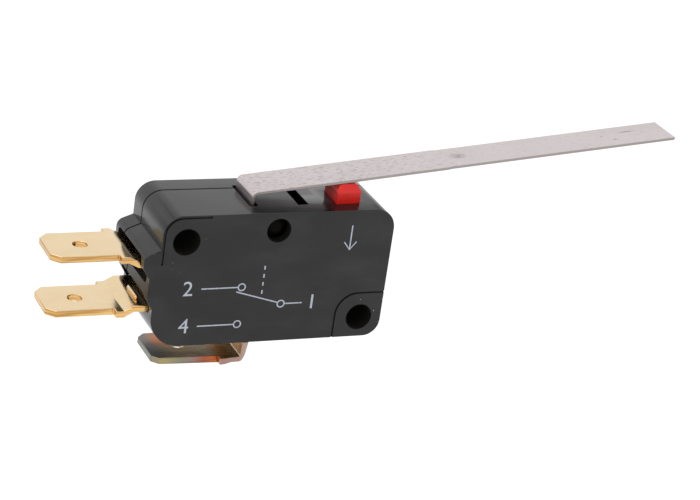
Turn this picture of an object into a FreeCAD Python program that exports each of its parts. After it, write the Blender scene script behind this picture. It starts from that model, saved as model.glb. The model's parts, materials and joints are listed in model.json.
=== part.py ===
import FreeCAD, Part
import math
import os
import Sketcher

# Miniature snap-action switch with a long hinged lever, in millimetres.
# The origin is the axis of the lower mounting hole at mid thickness. +X runs along the
# lever towards its tip, +Y from the printed face to the rear cover, +Z the way the
# plunger stands out of the case.

SIZES = {
    # Case and cover
    "case_length": 27.8,
    "case_height": 15.9,
    "case_thickness": 10.3,
    "cover_depth": 2.9,
    "end_to_hole": 2.8,
    "base_to_hole": 2.5,
    "hole_pitch_long": 22.2,
    "hole_pitch_high": 10.3,
    "hole_radius": 1.55,
    "boss_radius": 2.5,
    "wall": 1.2,
    "cavity_bevel": 2.2,
    "edge_round": 0.15,
    "corner_low_right": 2.0,
    "corner_top_right": 2.4,
    "corner_top_left": 2.2,
    "corner_low_left": 3.7,
    # Terminal block at the left end of the case
    "block_overhang": 1.85,
    "block_fall": 0.7,
    "block_end_height": 1.45,
    "block_neck_overhang": 1.05,
    "block_neck_drop": 1.35,
    "block_neck_height": 2.55,
    "block_foot_overhang": 0.35,
    "block_foot_drop": 1.2,
    "block_round": 0.45,
    "block_wall": 1.5,
    "pocket_depth": 1.65,
    "pocket_half_width": 4.2,
    "pocket_round": 0.6,
    "pocket_lip": 1.05,
    "upper_pocket_height": 3.35,
    "barrier_height": 1.3,
    "lower_pocket_height": 2.5,
    # Shallow fields round the mounting holes on the printed face
    "field_depth": 0.04,
    "groove_depth": 0.3,
    "groove_width": 0.24,
    "field_rim": 0.1,
    "field_foot_drop": 1.8,
    "field_length": 5.4,
    "low_field_reach": 3.2,
    "low_field_round": 2.8,
    # Locating peg of the cover and its hole in the case
    "peg_from_hole": 11.4,
    "peg_drop": 2.1,
    "peg_hole_radius": 1.4,
    "peg_gap": 0.05,
    "peg_sink": 1.1,
    "peg_point": 0.7,
    # Lever
    "lever_thickness": 0.35,
    "lever_half_width": 2.6,
    "lever_length": 53.7,
    "lever_angle": 5.95,
    "lever_gap": 0.03,
    "lever_bend_round": 0.7,
    "slot_to_hole": 13.85,
    "spare_slot_to_hole": 7.87,
    "slot_width": 1.05,
    "spare_slot_width": 1.28,
    "slot_clearance": 0.38,
    "ear_reach": 0.85,
    "ear_height": 0.9,
    # Plunger
    "plunger_to_hole": 2.45,
    "plunger_offset": 1.25,
    "plunger_length": 2.9,
    "plunger_width": 3.65,
    "plunger_rise": 2.2,
    "plunger_clearance": 0.08,
    "plunger_shoulder": 1.27,
    "plunger_lean": 0.55,
    "crown_half_length": 0.75,
    "crown_step": 0.35,
    "crown_fall": 0.12,
    "side_fall": 0.75,
    "flange_reach": 0.6,
    "flange_height": 1.2,
    "flange_gap": 0.05,
    "guide_rib": 0.7,
    "guide_height": 3.2,
    "stem_length": 1.5,
    "stem_nose": 0.37,
    "stem_near": 2.0,
    "stem_far": 0.3,
    # Flat terminals
    "blade_thickness": 0.8,
    "tab_half_width": 3.175,
    "tab_chamfer": 1.0,
    "tab_hole_radius": 0.83,
    "tab_hole_from_tip": 4.0,
    "shoulder_half_width": 4.0,
    "shoulder_length": 3.8,
    "tab_length": 7.62,
    "nc_entry_drop": 2.15,
    "nc_tab_lift": 0.55,
    "no_tab_drop": 1.05,
    "crease_in_reach": 0.9,
    "crease_run": 2.0,
    "inner_end": 16.0,
    "slit_gap": 0.02,
    # Common terminal and its inner frame
    "com_tab_drop": 5.3,
    "com_tip": 23.8,
    "com_shoulder": 16.1,
    "com_leg": 12.5,
    "com_leg_half_width": 3.4,
    "com_shoulder_half_width": 3.7,
    "com_chamfer": 0.8,
    "com_taper_low": 0.5,
    "com_taper_high": 0.25,
    "com_hole": 19.85,
    "com_bend_round": 1.3,
    "frame_rise": 1.7,
    "frame_inner": 2.4,
    "frame_right": 7.6,
    "frame_over_pivot": 1.2,
    "tongue_half_width": 2.1,
    "tongue_over_pivot": 0.7,
    "tongue_slot_half_width": 0.98,
    "tongue_slot_depth": 2.0,
    "notch_depth": 0.3,
    "notch_half_height": 0.35,
    # Snap mechanism
    "arm_drop": 8.1,
    "pivot_gap": 0.05,
    "arm_thickness": 0.3,
    "arm_end": 19.2,
    "arm_inner": 1.25,
    "arm_window_left": 14.0,
    "arm_ear_half_width": 3.3,
    "arm_ear_length": 1.0,
    "arm_hook_hole": 15.45,
    "drive_thickness": 0.3,
    "drive_pivot_drop": 1.8,
    "drive_hook_lift": 1.0,
    "drive_hook": 4.5,
    "drive_tip": 1.2,
    "drive_window_right": 5.9,
    "drive_window_half_width": 1.02,
    "hook_hole_length": 0.85,
    "spring_stretch": 0.45,
    "hook_hole_half_width": 0.4,
    "spring_wire": 0.3,
    "spring_radius": 0.58,
    "spring_pitch": 0.94,
    "spring_turns": 7,
    "hook_length": 0.7,
    "hook_gap": 0.13,
    # Contacts
    "contact_place": 17.7,
    "contact_radius": 1.4,
    "contact_edge": 0.42,
    "contact_crown": 0.7,
    "moving_crown": 0.65,
    "contact_gap": 1.1,
    "contact_shank": 0.75,
    "contact_upset": 0.2,
    "contact_upset_reach": 0.4,
}

doc = FreeCAD.newDocument("micro_switch")
sheet = doc.addObject("Spreadsheet::Sheet", "Sizes")


class Size:
    """A length that knows both its value and the sheet expression that gives it."""

    def __init__(self, value, text):
        self.value = value
        self.text = text

    def __add__(self, other):
        other = as_size(other)
        return Size(self.value + other.value, f"({self.text} + {other.text})")

    def __sub__(self, other):
        other = as_size(other)
        return Size(self.value - other.value, f"({self.text} - {other.text})")

    def __mul__(self, factor):
        factor = as_size(factor)
        return Size(self.value * factor.value, f"({self.text} * {factor.text})")

    def __truediv__(self, other):
        other = as_size(other)
        return Size(self.value / other.value, f"({self.text} / {other.text})")

    def __neg__(self):
        return Size(-self.value, f"(-1 * {self.text})")


def as_size(number):
    return number if isinstance(number, Size) else Size(float(number), repr(float(number)))


def fill_sheet():
    """One row for each driving size: its name, its value and the alias that names it."""
    for row, (alias, value) in enumerate(SIZES.items(), start=1):
        sheet.set(f"A{row}", alias)
        sheet.set(f"B{row}", str(value))
        sheet.setAlias(f"B{row}", alias)
    doc.recompute()


def size(alias):
    return Size(float(sheet.get(alias)), f"Sizes.{alias}")


fill_sheet()

# Faces and lines that several pieces share
ZERO = as_size(0.0)
BEYOND = as_size(1.0)
RIGHT = size("end_to_hole")
LEFT = RIGHT - size("case_length")
BASE = -size("base_to_hole")
TOP = BASE + size("case_height")
FRONT = -(size("case_thickness") * 0.5)
BACK = size("case_thickness") * 0.5
SEAM = BACK - size("cover_depth")
WALL = size("wall")
BITE = WALL * 0.5
ROOF = TOP - WALL
FLOOR = BASE + WALL
UPPER_HOLE = (-size("hole_pitch_long"), size("hole_pitch_high"))
LOWER_HOLE = (ZERO, ZERO)
BLOCK_LEFT = LEFT - size("block_overhang")
POCKET_FLOOR = BLOCK_LEFT + size("pocket_depth")
CAVITY_LEFT = POCKET_FLOOR + size("block_wall")
HALF_BLADE = size("blade_thickness") * 0.5
PEG = (-size("peg_from_hole"), TOP - size("peg_drop"))
PLUNGER_LEFT = -(size("plunger_to_hole") + size("plunger_length") * 0.5)
PLUNGER_RIGHT = PLUNGER_LEFT + size("plunger_length")
PLUNGER_NEAR = -(size("plunger_offset") + size("plunger_width") * 0.5)
PLUNGER_FAR = PLUNGER_NEAR + size("plunger_width")
CROWN = TOP + size("plunger_rise")

# Heights of the arm, the contacts and the terminal block, worked out from the top of the case
HALF_ARM = size("arm_thickness") * 0.5
CONTACT_STACK = size("contact_crown") + size("moving_crown")
ARM_HEIGHT = TOP - size("arm_drop")
NC_ENTRY = ARM_HEIGHT + HALF_ARM + size("pivot_gap") + CONTACT_STACK + HALF_BLADE
NO_ENTRY = ARM_HEIGHT - HALF_ARM - size("contact_gap") - CONTACT_STACK - HALF_BLADE
BLOCK_TOP = NC_ENTRY + size("nc_entry_drop")
BLOCK_END_TOP = BLOCK_TOP - size("block_fall")
BLOCK_WAIST = BLOCK_END_TOP - size("block_end_height")
NECK_TOP = BLOCK_WAIST - size("block_neck_drop")
NECK_BASE = NECK_TOP - size("block_neck_height")
UPPER_POCKET_HIGH = BLOCK_TOP - size("pocket_lip")
UPPER_POCKET_LOW = UPPER_POCKET_HIGH - size("upper_pocket_height")
LOWER_POCKET_HIGH = UPPER_POCKET_LOW - size("barrier_height")
LOWER_POCKET_LOW = LOWER_POCKET_HIGH - size("lower_pocket_height")
NC_TAB = NC_ENTRY + size("nc_tab_lift")
NO_TAB = NO_ENTRY - size("no_tab_drop")
DRIVE_PIVOT_HEIGHT = ARM_HEIGHT - size("drive_pivot_drop")

NORMALS = {"XY": FreeCAD.Vector(0, 0, 1), "XZ": FreeCAD.Vector(0, 1, 0), "YZ": FreeCAD.Vector(1, 0, 0)}
AXIS_NAMES = {"XY": "z", "XZ": "y", "YZ": "x"}
ROTATIONS = {
    "XY": FreeCAD.Rotation(),
    "XZ": FreeCAD.Rotation(FreeCAD.Vector(1, 0, 0), 90),
    "YZ": FreeCAD.Rotation(FreeCAD.Vector(1, 1, 1), 120),
}


def bind(thing, prop, length):
    thing.setExpression(prop, length.text)


def hold(sketch, kind, geometry, point, length):
    """Tie one point of the sketch to its origin along one axis by a named size."""
    index = sketch.addConstraint(Sketcher.Constraint(kind, -1, 1, geometry, point, length.value))
    sketch.setExpression(f"Constraints[{index}]", length.text)


def towards(start, end):
    """Unit step from one corner to the next, for sides that follow an axis."""
    run = end[0].value - start[0].value
    rise = end[1].value - start[1].value
    length = math.hypot(run, rise)
    return round(run / length), round(rise / length)


def along(corner, step, distance):
    return corner[0] + distance * step[0], corner[1] + distance * step[1]


def draw_polygon(sketch, points):
    """Closed outline through the corners; a corner with a third value is rounded by it."""
    count = len(points)
    vector = FreeCAD.Vector
    starts = []
    ends = []
    rounds = []
    for index, corner in enumerate(points):
        radius = corner[2] if len(corner) > 2 else None
        arrive = depart = corner
        if radius is not None:
            back = towards(corner, points[index - 1])
            forward = towards(corner, points[(index + 1) % count])
            arrive = along(corner, back, radius)
            depart = along(corner, forward, radius)
            rounds.append((index, along(arrive, forward, radius), radius))
        ends.append(arrive)
        starts.append(depart)
    first = sketch.GeometryCount
    for index in range(count):
        end = ends[(index + 1) % count]
        begin = vector(starts[index][0].value, starts[index][1].value, 0)
        sketch.addGeometry(Part.LineSegment(begin, vector(end[0].value, end[1].value, 0)))
        hold(sketch, "DistanceX", first + index, 1, starts[index][0])
        hold(sketch, "DistanceY", first + index, 1, starts[index][1])
    rounded = {index for index, centre, radius in rounds}
    for index in range(count):
        following = (index + 1) % count
        if following not in rounded:
            sketch.addConstraint(Sketcher.Constraint("Coincident", first + index, 2, first + following, 1))
    for index, centre, radius in rounds:
        previous = (index - 1) % count
        hold(sketch, "DistanceX", first + previous, 2, ends[index][0])
        hold(sketch, "DistanceY", first + previous, 2, ends[index][1])
        draw_arc(sketch, first + previous, first + index, ends[index], starts[index], centre, radius)


def draw_arc(sketch, line_in, line_out, begin, end, centre, radius):
    """Arc between the ends of two lines, bulging away from its centre."""
    middle_x = centre[0].value
    middle_y = centre[1].value
    outward = FreeCAD.Vector(begin[0].value + end[0].value - 2 * middle_x,
                             begin[1].value + end[1].value - 2 * middle_y, 0).normalize()
    crown = FreeCAD.Vector(middle_x, middle_y, 0) + outward * radius.value
    arc = Part.Arc(FreeCAD.Vector(begin[0].value, begin[1].value, 0), crown,
                   FreeCAD.Vector(end[0].value, end[1].value, 0))
    index = sketch.addGeometry(arc)
    starts_at_begin = sketch.getPoint(index, 1).distanceToPoint(
        FreeCAD.Vector(begin[0].value, begin[1].value, 0)) < 1e-6
    near, far = (1, 2) if starts_at_begin else (2, 1)
    sketch.addConstraint(Sketcher.Constraint("Coincident", line_in, 2, index, near))
    sketch.addConstraint(Sketcher.Constraint("Coincident", line_out, 1, index, far))
    hold(sketch, "DistanceX", index, 3, centre[0])


def draw_circle(sketch, centre, radius):
    x, y = centre
    up = FreeCAD.Vector(0, 0, 1)
    index = sketch.addGeometry(Part.Circle(FreeCAD.Vector(x.value, y.value, 0), up, radius.value))
    hold(sketch, "DistanceX", index, 3, x)
    hold(sketch, "DistanceY", index, 3, y)
    constraint = sketch.addConstraint(Sketcher.Constraint("Radius", index, radius.value))
    sketch.setExpression(f"Constraints[{constraint}]", radius.text)


def box_points(low_x, low_y, high_x, high_y):
    return [(low_x, low_y), (high_x, low_y), (high_x, high_y), (low_x, high_y)]


def draw(sketch, outlines):
    for outline in outlines:
        if isinstance(outline, list):
            draw_polygon(sketch, outline)
        else:
            draw_circle(sketch, outline[0], outline[1])


def origin_plane(body, plane):
    for item in body.Origin.OriginFeatures:
        if item.Role == f"{plane}_Plane":
            return item
    raise ValueError(f"{body.Label} has no {plane} plane")


def feature(body, kind, name, plane, outlines, low, high):
    """Pad or pocket of the outlines that fills low to high along the plane's world axis."""
    flipped = plane == "XZ"
    start = high if flipped == (kind == "Pad") else low
    sketch = body.newObject("Sketcher::SketchObject", f"{name}_sketch")
    sketch.AttachmentSupport = (origin_plane(body, plane), [""])
    sketch.MapMode = "FlatFace"
    bind(sketch, ".AttachmentOffset.Base.z", -start if flipped else start)
    draw(sketch, outlines)
    made = body.newObject(f"PartDesign::{kind}", name)
    made.Profile = sketch
    bind(made, "Length", high - low)
    doc.recompute()
    return made


def pad(body, name, plane, outlines, low, high):
    return feature(body, "Pad", name, plane, outlines, low, high)


def pocket(body, name, plane, outlines, low, high):
    before = body.Shape.Volume
    made = feature(body, "Pocket", name, plane, outlines, low, high)
    if body.Shape.Volume >= before:
        raise ValueError(f"{name} cuts nothing")
    return made


def edges_where(shape, test):
    return [f"Edge{index}" for index, edge in enumerate(shape.Edges, start=1) if test(edge)]


def middle(edge):
    return edge.valueAt((edge.FirstParameter + edge.LastParameter) / 2.0)


def runs_along(edge, axis):
    ends = [vertex.Point for vertex in edge.Vertexes]
    if len(ends) < 2:
        return False
    return (ends[1] - ends[0]).cross(axis).Length < 1e-6


def soften(body, kind, name, radius, test):
    """Fillet or chamfer every edge of the body that passes the test."""
    base = body.Tip
    made = body.newObject(f"PartDesign::{kind}", name)
    made.Base = (base, edges_where(base.Shape, test))
    bind(made, "Radius" if kind == "Fillet" else "Size", radius)
    doc.recompute()
    return made


def round_corner(body, name, radius, x, z):
    """Round the edge along Y that stands at x, z."""
    def at_corner(edge):
        point = middle(edge)
        near = abs(point.x - x.value) < 1e-3 and abs(point.z - z.value) < 1e-3
        return near and runs_along(edge, FreeCAD.Vector(0, 1, 0))
    return soften(body, "Fillet", name, radius, at_corner)


def slab(name, plane, outlines, low, high):
    """Extrude a free sketch from low to high along the plane's world axis."""
    sketch = doc.addObject("Sketcher::SketchObject", f"{name}_sketch")
    sketch.Placement = FreeCAD.Placement(FreeCAD.Vector(), ROTATIONS[plane])
    bind(sketch, f".Placement.Base.{AXIS_NAMES[plane]}", low)
    draw(sketch, outlines)
    made = doc.addObject("Part::Extrusion", name)
    made.Base = sketch
    made.DirMode = "Custom"
    made.Dir = NORMALS[plane]
    made.Solid = True
    bind(made, "LengthFwd", high - low)
    return made


def combine(kind, name, parts):
    made = doc.addObject(f"Part::{kind}", name)
    made.Shapes = parts
    made.Refine = True
    return made


def cut(name, base, tool):
    made = doc.addObject("Part::Cut", name)
    made.Base = base
    made.Tool = tool
    made.Refine = True
    return made


def half_shell(name, low, high, inner_low, inner_high):
    """The moulding common to case and cover: outline, rounded corners, cavity and bosses."""
    neck = LEFT - size("block_neck_overhang")
    foot = LEFT - size("block_foot_overhang")
    outline = [
        (RIGHT, BASE),
        (RIGHT, TOP),
        (LEFT, TOP),
        (LEFT, BLOCK_TOP),
        (BLOCK_LEFT, BLOCK_END_TOP),
        (BLOCK_LEFT, BLOCK_WAIST),
        (neck, NECK_TOP),
        (neck, NECK_BASE),
        (foot, NECK_BASE - size("block_foot_drop")),
        (foot, BASE),
    ]
    body = doc.addObject("PartDesign::Body", name)
    pad(body, f"{name}_outline", "XZ", [outline], low, high)
    corners = [
        ("low_right", size("corner_low_right"), RIGHT, BASE),
        ("top_right", size("corner_top_right"), RIGHT, TOP),
        ("top_left", size("corner_top_left"), LEFT, TOP),
        ("block_top", size("block_round"), BLOCK_LEFT, BLOCK_END_TOP),
        ("block_waist", size("block_round"), BLOCK_LEFT, BLOCK_WAIST),
        ("low_left", size("corner_low_left"), foot, BASE),
    ]
    for corner, radius, x, z in corners:
        round_corner(body, f"{name}_{corner}", radius, x, z)
    outer = low if name == "front_case" else high

    def on_outer_face(edge):
        points = [vertex.Point for vertex in edge.Vertexes] + [middle(edge)]
        return all(abs(point.y - outer.value) < 1e-4 for point in points)

    soften(body, "Fillet", f"{name}_rim", size("edge_round"), on_outer_face)
    slope = size("cavity_bevel")
    cavity = [
        (RIGHT - WALL, FLOOR),
        (RIGHT - WALL, ROOF),
        (CAVITY_LEFT, ROOF),
        (CAVITY_LEFT, FLOOR + slope),
        (CAVITY_LEFT + slope, FLOOR),
    ]
    pocket(body, f"{name}_cavity", "XZ", [cavity], inner_low, inner_high)
    boss = size("boss_radius")
    rooted_low = low + BITE if outer is low else low
    rooted_high = high if outer is low else high - BITE
    rings = [(UPPER_HOLE, boss), (LOWER_HOLE, boss)]
    pad(body, f"{name}_bosses", "XZ", rings, rooted_low, rooted_high)
    bores = [(UPPER_HOLE, size("hole_radius")), (LOWER_HOLE, size("hole_radius"))]
    pocket(body, f"{name}_bores", "XZ", bores, low - BEYOND, high + BEYOND)
    return body


def guide_ribs(body):
    """Two ribs that keep the plunger's flange from tilting."""
    reach = size("flange_reach") + size("plunger_clearance")
    thick = size("guide_rib")
    bottom = ROOF - size("guide_height")
    top = ROOF + BITE
    left = PLUNGER_LEFT - reach
    right = PLUNGER_RIGHT + reach
    ribs = [
        box_points(left - thick, bottom, left, top),
        box_points(right, bottom, right + thick, top),
    ]
    pad(body, "front_case_ribs", "XZ", ribs, FRONT + BITE, PLUNGER_FAR)


def top_openings(body):
    """Both lever slots through the roof."""
    reach = size("lever_half_width") + size("slot_clearance")
    slots = []
    for place, width in (("slot_to_hole", "slot_width"), ("spare_slot_to_hole", "spare_slot_width")):
        half = size(width) * 0.5
        slots.append(box_points(-size(place) - half, -reach, -size(place) + half, reach))
    pocket(body, f"{body.Label}_roof_slots", "XY", slots, ROOF - BITE, TOP + BEYOND)


def terminal_openings(body):
    """Pockets and slits at the left end, and the slit in the base for the common terminal."""
    name = body.Label
    reach = size("pocket_half_width")
    pockets = [
        box_points(-reach, UPPER_POCKET_LOW, reach, UPPER_POCKET_HIGH),
        box_points(-reach, LOWER_POCKET_LOW, reach, LOWER_POCKET_HIGH),
    ]
    pocket(body, f"{name}_tab_pockets", "YZ", pockets, BLOCK_LEFT - BEYOND, POCKET_FLOOR)
    levels = (UPPER_POCKET_LOW, UPPER_POCKET_HIGH, LOWER_POCKET_LOW, LOWER_POCKET_HIGH)

    def pocket_corner(edge):
        point = middle(edge)
        beside = abs(abs(point.y) - reach.value) < 1e-3
        level = any(abs(point.z - height.value) < 1e-3 for height in levels)
        return beside and level and runs_along(edge, FreeCAD.Vector(1, 0, 0))

    soften(body, "Fillet", f"{name}_pocket_ends", size("pocket_round"), pocket_corner)
    side = size("tab_half_width") + size("slit_gap")
    half = HALF_BLADE + size("slit_gap")
    slits = []
    for entry in (NC_ENTRY, NO_ENTRY):
        slits.append(box_points(-side, entry - half, side, entry + half))
    pocket(body, f"{name}_tab_slits", "YZ", slits, POCKET_FLOOR - BITE, -size("inner_end") + size("slit_gap"))
    leg_side = size("com_leg_half_width") + size("slit_gap")
    leg = box_points(-size("com_leg") - half, -leg_side, -size("com_leg") + half, leg_side)
    pocket(body, f"{name}_leg_slit", "XY", [leg], BASE - BEYOND, FLOOR + BITE)


def marked_field(body, name, corner, radius, end):
    """A shallow field below and right of corner, with a fine groove along its rounded side."""
    x, z = corner
    end_x, end_z = end
    groove = size("groove_width")
    field = [(x, end_z), (end_x, end_z), (end_x, z), (x, z, radius)]
    pocket(body, f"{name}_field", "XZ", [field], FRONT - BEYOND, FRONT + size("field_depth"))
    strip = [
        (x, end_z),
        (x + groove, end_z),
        (x + groove, z - groove, radius - groove),
        (end_x, z - groove),
        (end_x, z),
        (x, z, radius),
    ]
    pocket(body, f"{name}_groove", "XZ", [strip], FRONT, FRONT + size("groove_depth"))


def front_case():
    """Deep front half of the case, with the printed face and the plunger's guide."""
    body = half_shell("front_case", FRONT, SEAM, FRONT + WALL, SEAM)
    guide_ribs(body)
    top_openings(body)
    gap = size("plunger_clearance")
    window = box_points(PLUNGER_LEFT - gap, PLUNGER_NEAR - gap, PLUNGER_RIGHT + gap, PLUNGER_FAR + gap)
    pocket(body, "front_case_window", "XY", [window], ROOF - BITE, TOP + BEYOND)
    terminal_openings(body)
    peg_hole = (PEG, size("peg_hole_radius"))
    pocket(body, "front_case_peg_hole", "XZ", [peg_hole], FRONT - BEYOND, SEAM + BEYOND)
    rim = size("field_rim")
    upper_corner = (LEFT + rim, TOP - rim)
    upper_end = (LEFT + rim + size("field_length"), BLOCK_TOP - size("field_foot_drop"))
    marked_field(body, "upper", upper_corner, size("corner_top_left") - rim, upper_end)
    reach = size("low_field_reach")
    lower_end = (RIGHT + BEYOND, BASE - BEYOND)
    marked_field(body, "lower", (-reach, reach), size("low_field_round"), lower_end)
    return body


def rear_cover():
    """Shallow rear half, with the peg that locates it in the case."""
    body = half_shell("rear_cover", SEAM, BACK, SEAM, BACK - WALL)
    top_openings(body)
    terminal_openings(body)
    tip = FRONT + size("peg_sink")
    peg = (PEG, size("peg_hole_radius") - size("peg_gap"))
    pad(body, "rear_cover_peg", "XZ", [peg], tip, BACK - BITE)

    def at_tip(edge):
        return abs(middle(edge).y - tip.value) < 1e-4

    soften(body, "Chamfer", "rear_cover_peg_point", size("peg_point"), at_tip)
    return body


def hinge_lever():
    """Long stainless lever: plate, bend, leg and the ears that hold it under the roof."""
    thick = size("lever_thickness")
    side = size("lever_half_width")
    slope = Size(math.tan(math.radians(size("lever_angle").value)), "tan(Sizes.lever_angle)")
    leg_left = -size("slot_to_hole") - thick * 0.5
    leg_right = leg_left + thick
    tip = leg_left + size("lever_length")
    rest_x = PLUNGER_LEFT + size("plunger_length") * 0.5 - size("crown_half_length")
    under = CROWN + size("lever_gap") - slope * (rest_x - leg_left)
    bend = under + thick
    ear_top = ROOF - size("flange_gap")
    ear_bottom = ear_top - size("ear_height")
    side_view = [
        (leg_left, ear_bottom),
        (leg_right, ear_bottom),
        (leg_right, under + slope * thick),
        (tip, under + slope * size("lever_length")),
        (tip, bend + slope * size("lever_length")),
        (leg_left, bend),
    ]
    body = doc.addObject("PartDesign::Body", "hinge_lever")
    pad(body, "lever_strip", "XZ", [side_view], -side, side)
    outer = size("lever_bend_round")
    round_corner(body, "lever_outer_bend", outer, leg_left, bend)
    round_corner(body, "lever_inner_bend", outer - thick, leg_right, under + slope * thick)
    ears = box_points(leg_left, ear_bottom, leg_right, ear_top)
    reach = side + size("ear_reach")
    pad(body, "lever_ears", "XZ", [ears], -reach, reach)
    return body


def plunger():
    """Faceted red button with the flange that stops it under the roof and the stem below."""
    centre = PLUNGER_LEFT + size("plunger_length") * 0.5
    flange_top = ROOF - size("flange_gap")
    flange_bottom = flange_top - size("flange_height")
    crown = size("crown_half_length")
    step = crown + size("crown_step")
    end_view = [
        (PLUNGER_LEFT, flange_bottom),
        (PLUNGER_RIGHT, flange_bottom),
        (PLUNGER_RIGHT, CROWN - size("side_fall")),
        (centre + step, CROWN - size("crown_fall")),
        (centre + crown, CROWN),
        (centre - crown, CROWN),
        (centre - step, CROWN - size("crown_fall")),
        (PLUNGER_LEFT, CROWN - size("side_fall")),
    ]
    shoulder = TOP + size("plunger_shoulder")
    lean = size("plunger_lean")
    front_view = [
        (PLUNGER_NEAR, flange_bottom),
        (PLUNGER_FAR, flange_bottom),
        (PLUNGER_FAR, shoulder),
        (PLUNGER_FAR - lean, CROWN),
        (PLUNGER_NEAR + lean, CROWN),
        (PLUNGER_NEAR, shoulder),
    ]
    long_way = slab("plunger_long_profile", "XZ", [end_view], PLUNGER_NEAR, PLUNGER_FAR)
    cross_way = slab("plunger_cross_profile", "YZ", [front_view], PLUNGER_LEFT, PLUNGER_RIGHT)
    head = combine("MultiCommon", "plunger_head", [long_way, cross_way])
    reach = size("flange_reach")
    low_corner = (PLUNGER_LEFT - reach, PLUNGER_NEAR - reach)
    high_corner = (PLUNGER_RIGHT + reach, PLUNGER_FAR + reach)
    flange = slab("plunger_flange", "XY", [box_points(*low_corner, *high_corner)], flange_bottom, flange_top)
    half = size("stem_length") * 0.5
    nose = size("stem_nose")
    foot = drive_height(centre + nose) + size("drive_thickness") * 0.5 + size("pivot_gap")
    stem_view = [
        (centre - nose, foot),
        (centre + nose, foot),
        (centre + half, foot + half - nose),
        (centre + half, flange_top),
        (centre - half, flange_top),
        (centre - half, foot + half - nose),
    ]
    stem = slab("plunger_stem", "XZ", [stem_view], -size("stem_near"), -size("stem_far"))
    return combine("MultiFuse", "plunger", [head, flange, stem])


def tab_plan(tip, shoulder, floor, inner):
    """Outline of a flat terminal seen from above, from its tip to its inner end."""
    side = size("tab_half_width")
    chamfer = size("tab_chamfer")
    wide = size("shoulder_half_width")
    upper_side = [
        (inner, side),
        (floor, side),
        (floor, wide),
        (shoulder, wide),
        (shoulder, side),
        (tip + chamfer, side),
        (tip, side - chamfer),
    ]
    return upper_side + [(x, -y) for x, y in reversed(upper_side)]


def end_terminal(name, tab_height, entry_height):
    """One-piece terminal: outer tab, small joggle, shoulders in the pocket, inner plate."""
    inner = -size("inner_end")
    floor = POCKET_FLOOR - size("slit_gap")
    shoulder = floor - size("shoulder_length")
    tip = shoulder - size("tab_length")
    crease_in = POCKET_FLOOR - size("crease_in_reach")
    crease_out = crease_in - size("crease_run")
    bottom = [(inner, entry_height), (crease_in, entry_height), (crease_out, tab_height), (tip, tab_height)]
    side_view = [(x, z + HALF_BLADE) for x, z in bottom]
    side_view += [(x, z - HALF_BLADE) for x, z in reversed(bottom)]
    wide = size("shoulder_half_width")
    strip = slab(f"{name}_strip", "XZ", [side_view], -wide, wide)
    plan = slab(f"{name}_plan", "XY", [tab_plan(tip, shoulder, floor, inner)], BASE, TOP)
    blank = combine("MultiCommon", f"{name}_blank", [strip, plan])
    holes = [
        ((tip + size("tab_hole_from_tip"), ZERO), size("tab_hole_radius")),
        ((-size("contact_place"), ZERO), size("contact_shank")),
    ]
    punch = slab(f"{name}_punch", "XY", holes, BASE, TOP)
    return cut(name, blank, punch)


def com_terminal():
    """Common terminal: tab under the case, leg through the base and the frame that it forms."""
    name = "com_terminal"
    middle_height = -size("com_tab_drop")
    low = middle_height - HALF_BLADE
    high = middle_height + HALF_BLADE
    tip = -size("com_tip")
    leg_left = -size("com_leg") - HALF_BLADE
    leg_right = -size("com_leg") + HALF_BLADE
    pivot = DRIVE_PIVOT_HEIGHT
    tongue_high = pivot + size("tongue_over_pivot")
    notch = size("notch_half_height")
    side_view = [
        (tip, low),
        (leg_right, low),
        (leg_right, pivot - notch),
        (leg_right - size("notch_depth"), pivot),
        (leg_right, pivot + notch),
        (leg_right, tongue_high),
        (leg_left, tongue_high),
        (leg_left, high),
        (tip, high),
    ]
    wide = size("com_shoulder_half_width")
    strip = doc.addObject("PartDesign::Body", "com_strip")
    pad(strip, "com_strip_pad", "XZ", [side_view], -wide, wide)
    bend = size("com_bend_round")
    round_corner(strip, "com_outer_bend", bend, leg_right, low)
    round_corner(strip, "com_inner_bend", bend - HALF_BLADE, leg_left, high)
    side = size("tab_half_width")
    chamfer = size("com_chamfer")
    shoulder = -size("com_shoulder")
    half_plan = [(leg_right, wide), (shoulder, wide), (shoulder, side)]
    half_plan += [(tip + chamfer, side), (tip, side - chamfer)]
    plan_points = half_plan + [(x, -y) for x, y in reversed(half_plan)]
    plan = slab("com_plan", "XY", [plan_points], low, tongue_high)
    leg = size("com_leg_half_width")
    tongue = size("tongue_half_width")
    slot = size("tongue_slot_half_width")
    frame_low = FLOOR + size("frame_rise")
    frame_top = frame_low + size("blade_thickness")
    half_front = [
        (wide, low),
        (wide, BASE - size("com_taper_low")),
        (leg, BASE - size("com_taper_high")),
        (leg, frame_top),
        (tongue, frame_top),
        (tongue, tongue_high),
        (slot, tongue_high),
        (slot, tongue_high - size("tongue_slot_depth")),
    ]
    front_points = half_front + [(-y, z) for y, z in reversed(half_front)]
    front = slab("com_front", "YZ", [front_points], tip, leg_right)
    blank = combine("MultiCommon", "com_blank", [strip, plan, front])
    right = -size("frame_right")
    upright = right - size("blade_thickness")
    frame_high = ARM_HEIGHT + size("frame_over_pivot")
    frame_view = [
        (leg_left, frame_low),
        (right, frame_low),
        (right, frame_high),
        (upright, frame_high),
        (upright, ARM_HEIGHT + notch),
        (upright + size("notch_depth"), ARM_HEIGHT),
        (upright, ARM_HEIGHT - notch),
        (upright, frame_top),
        (leg_left, frame_top),
    ]
    inner = size("frame_inner")
    near = slab("com_frame_near", "XZ", [frame_view], -leg, -inner)
    far = slab("com_frame_far", "XZ", [frame_view], inner, leg)
    whole = combine("MultiFuse", "com_whole", [blank, near, far])
    hole = ((-size("com_hole"), ZERO), size("tab_hole_radius"))
    punch = slab("com_punch", "XY", [hole], low - BEYOND, high + BEYOND)
    return cut(name, whole, punch)


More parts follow.
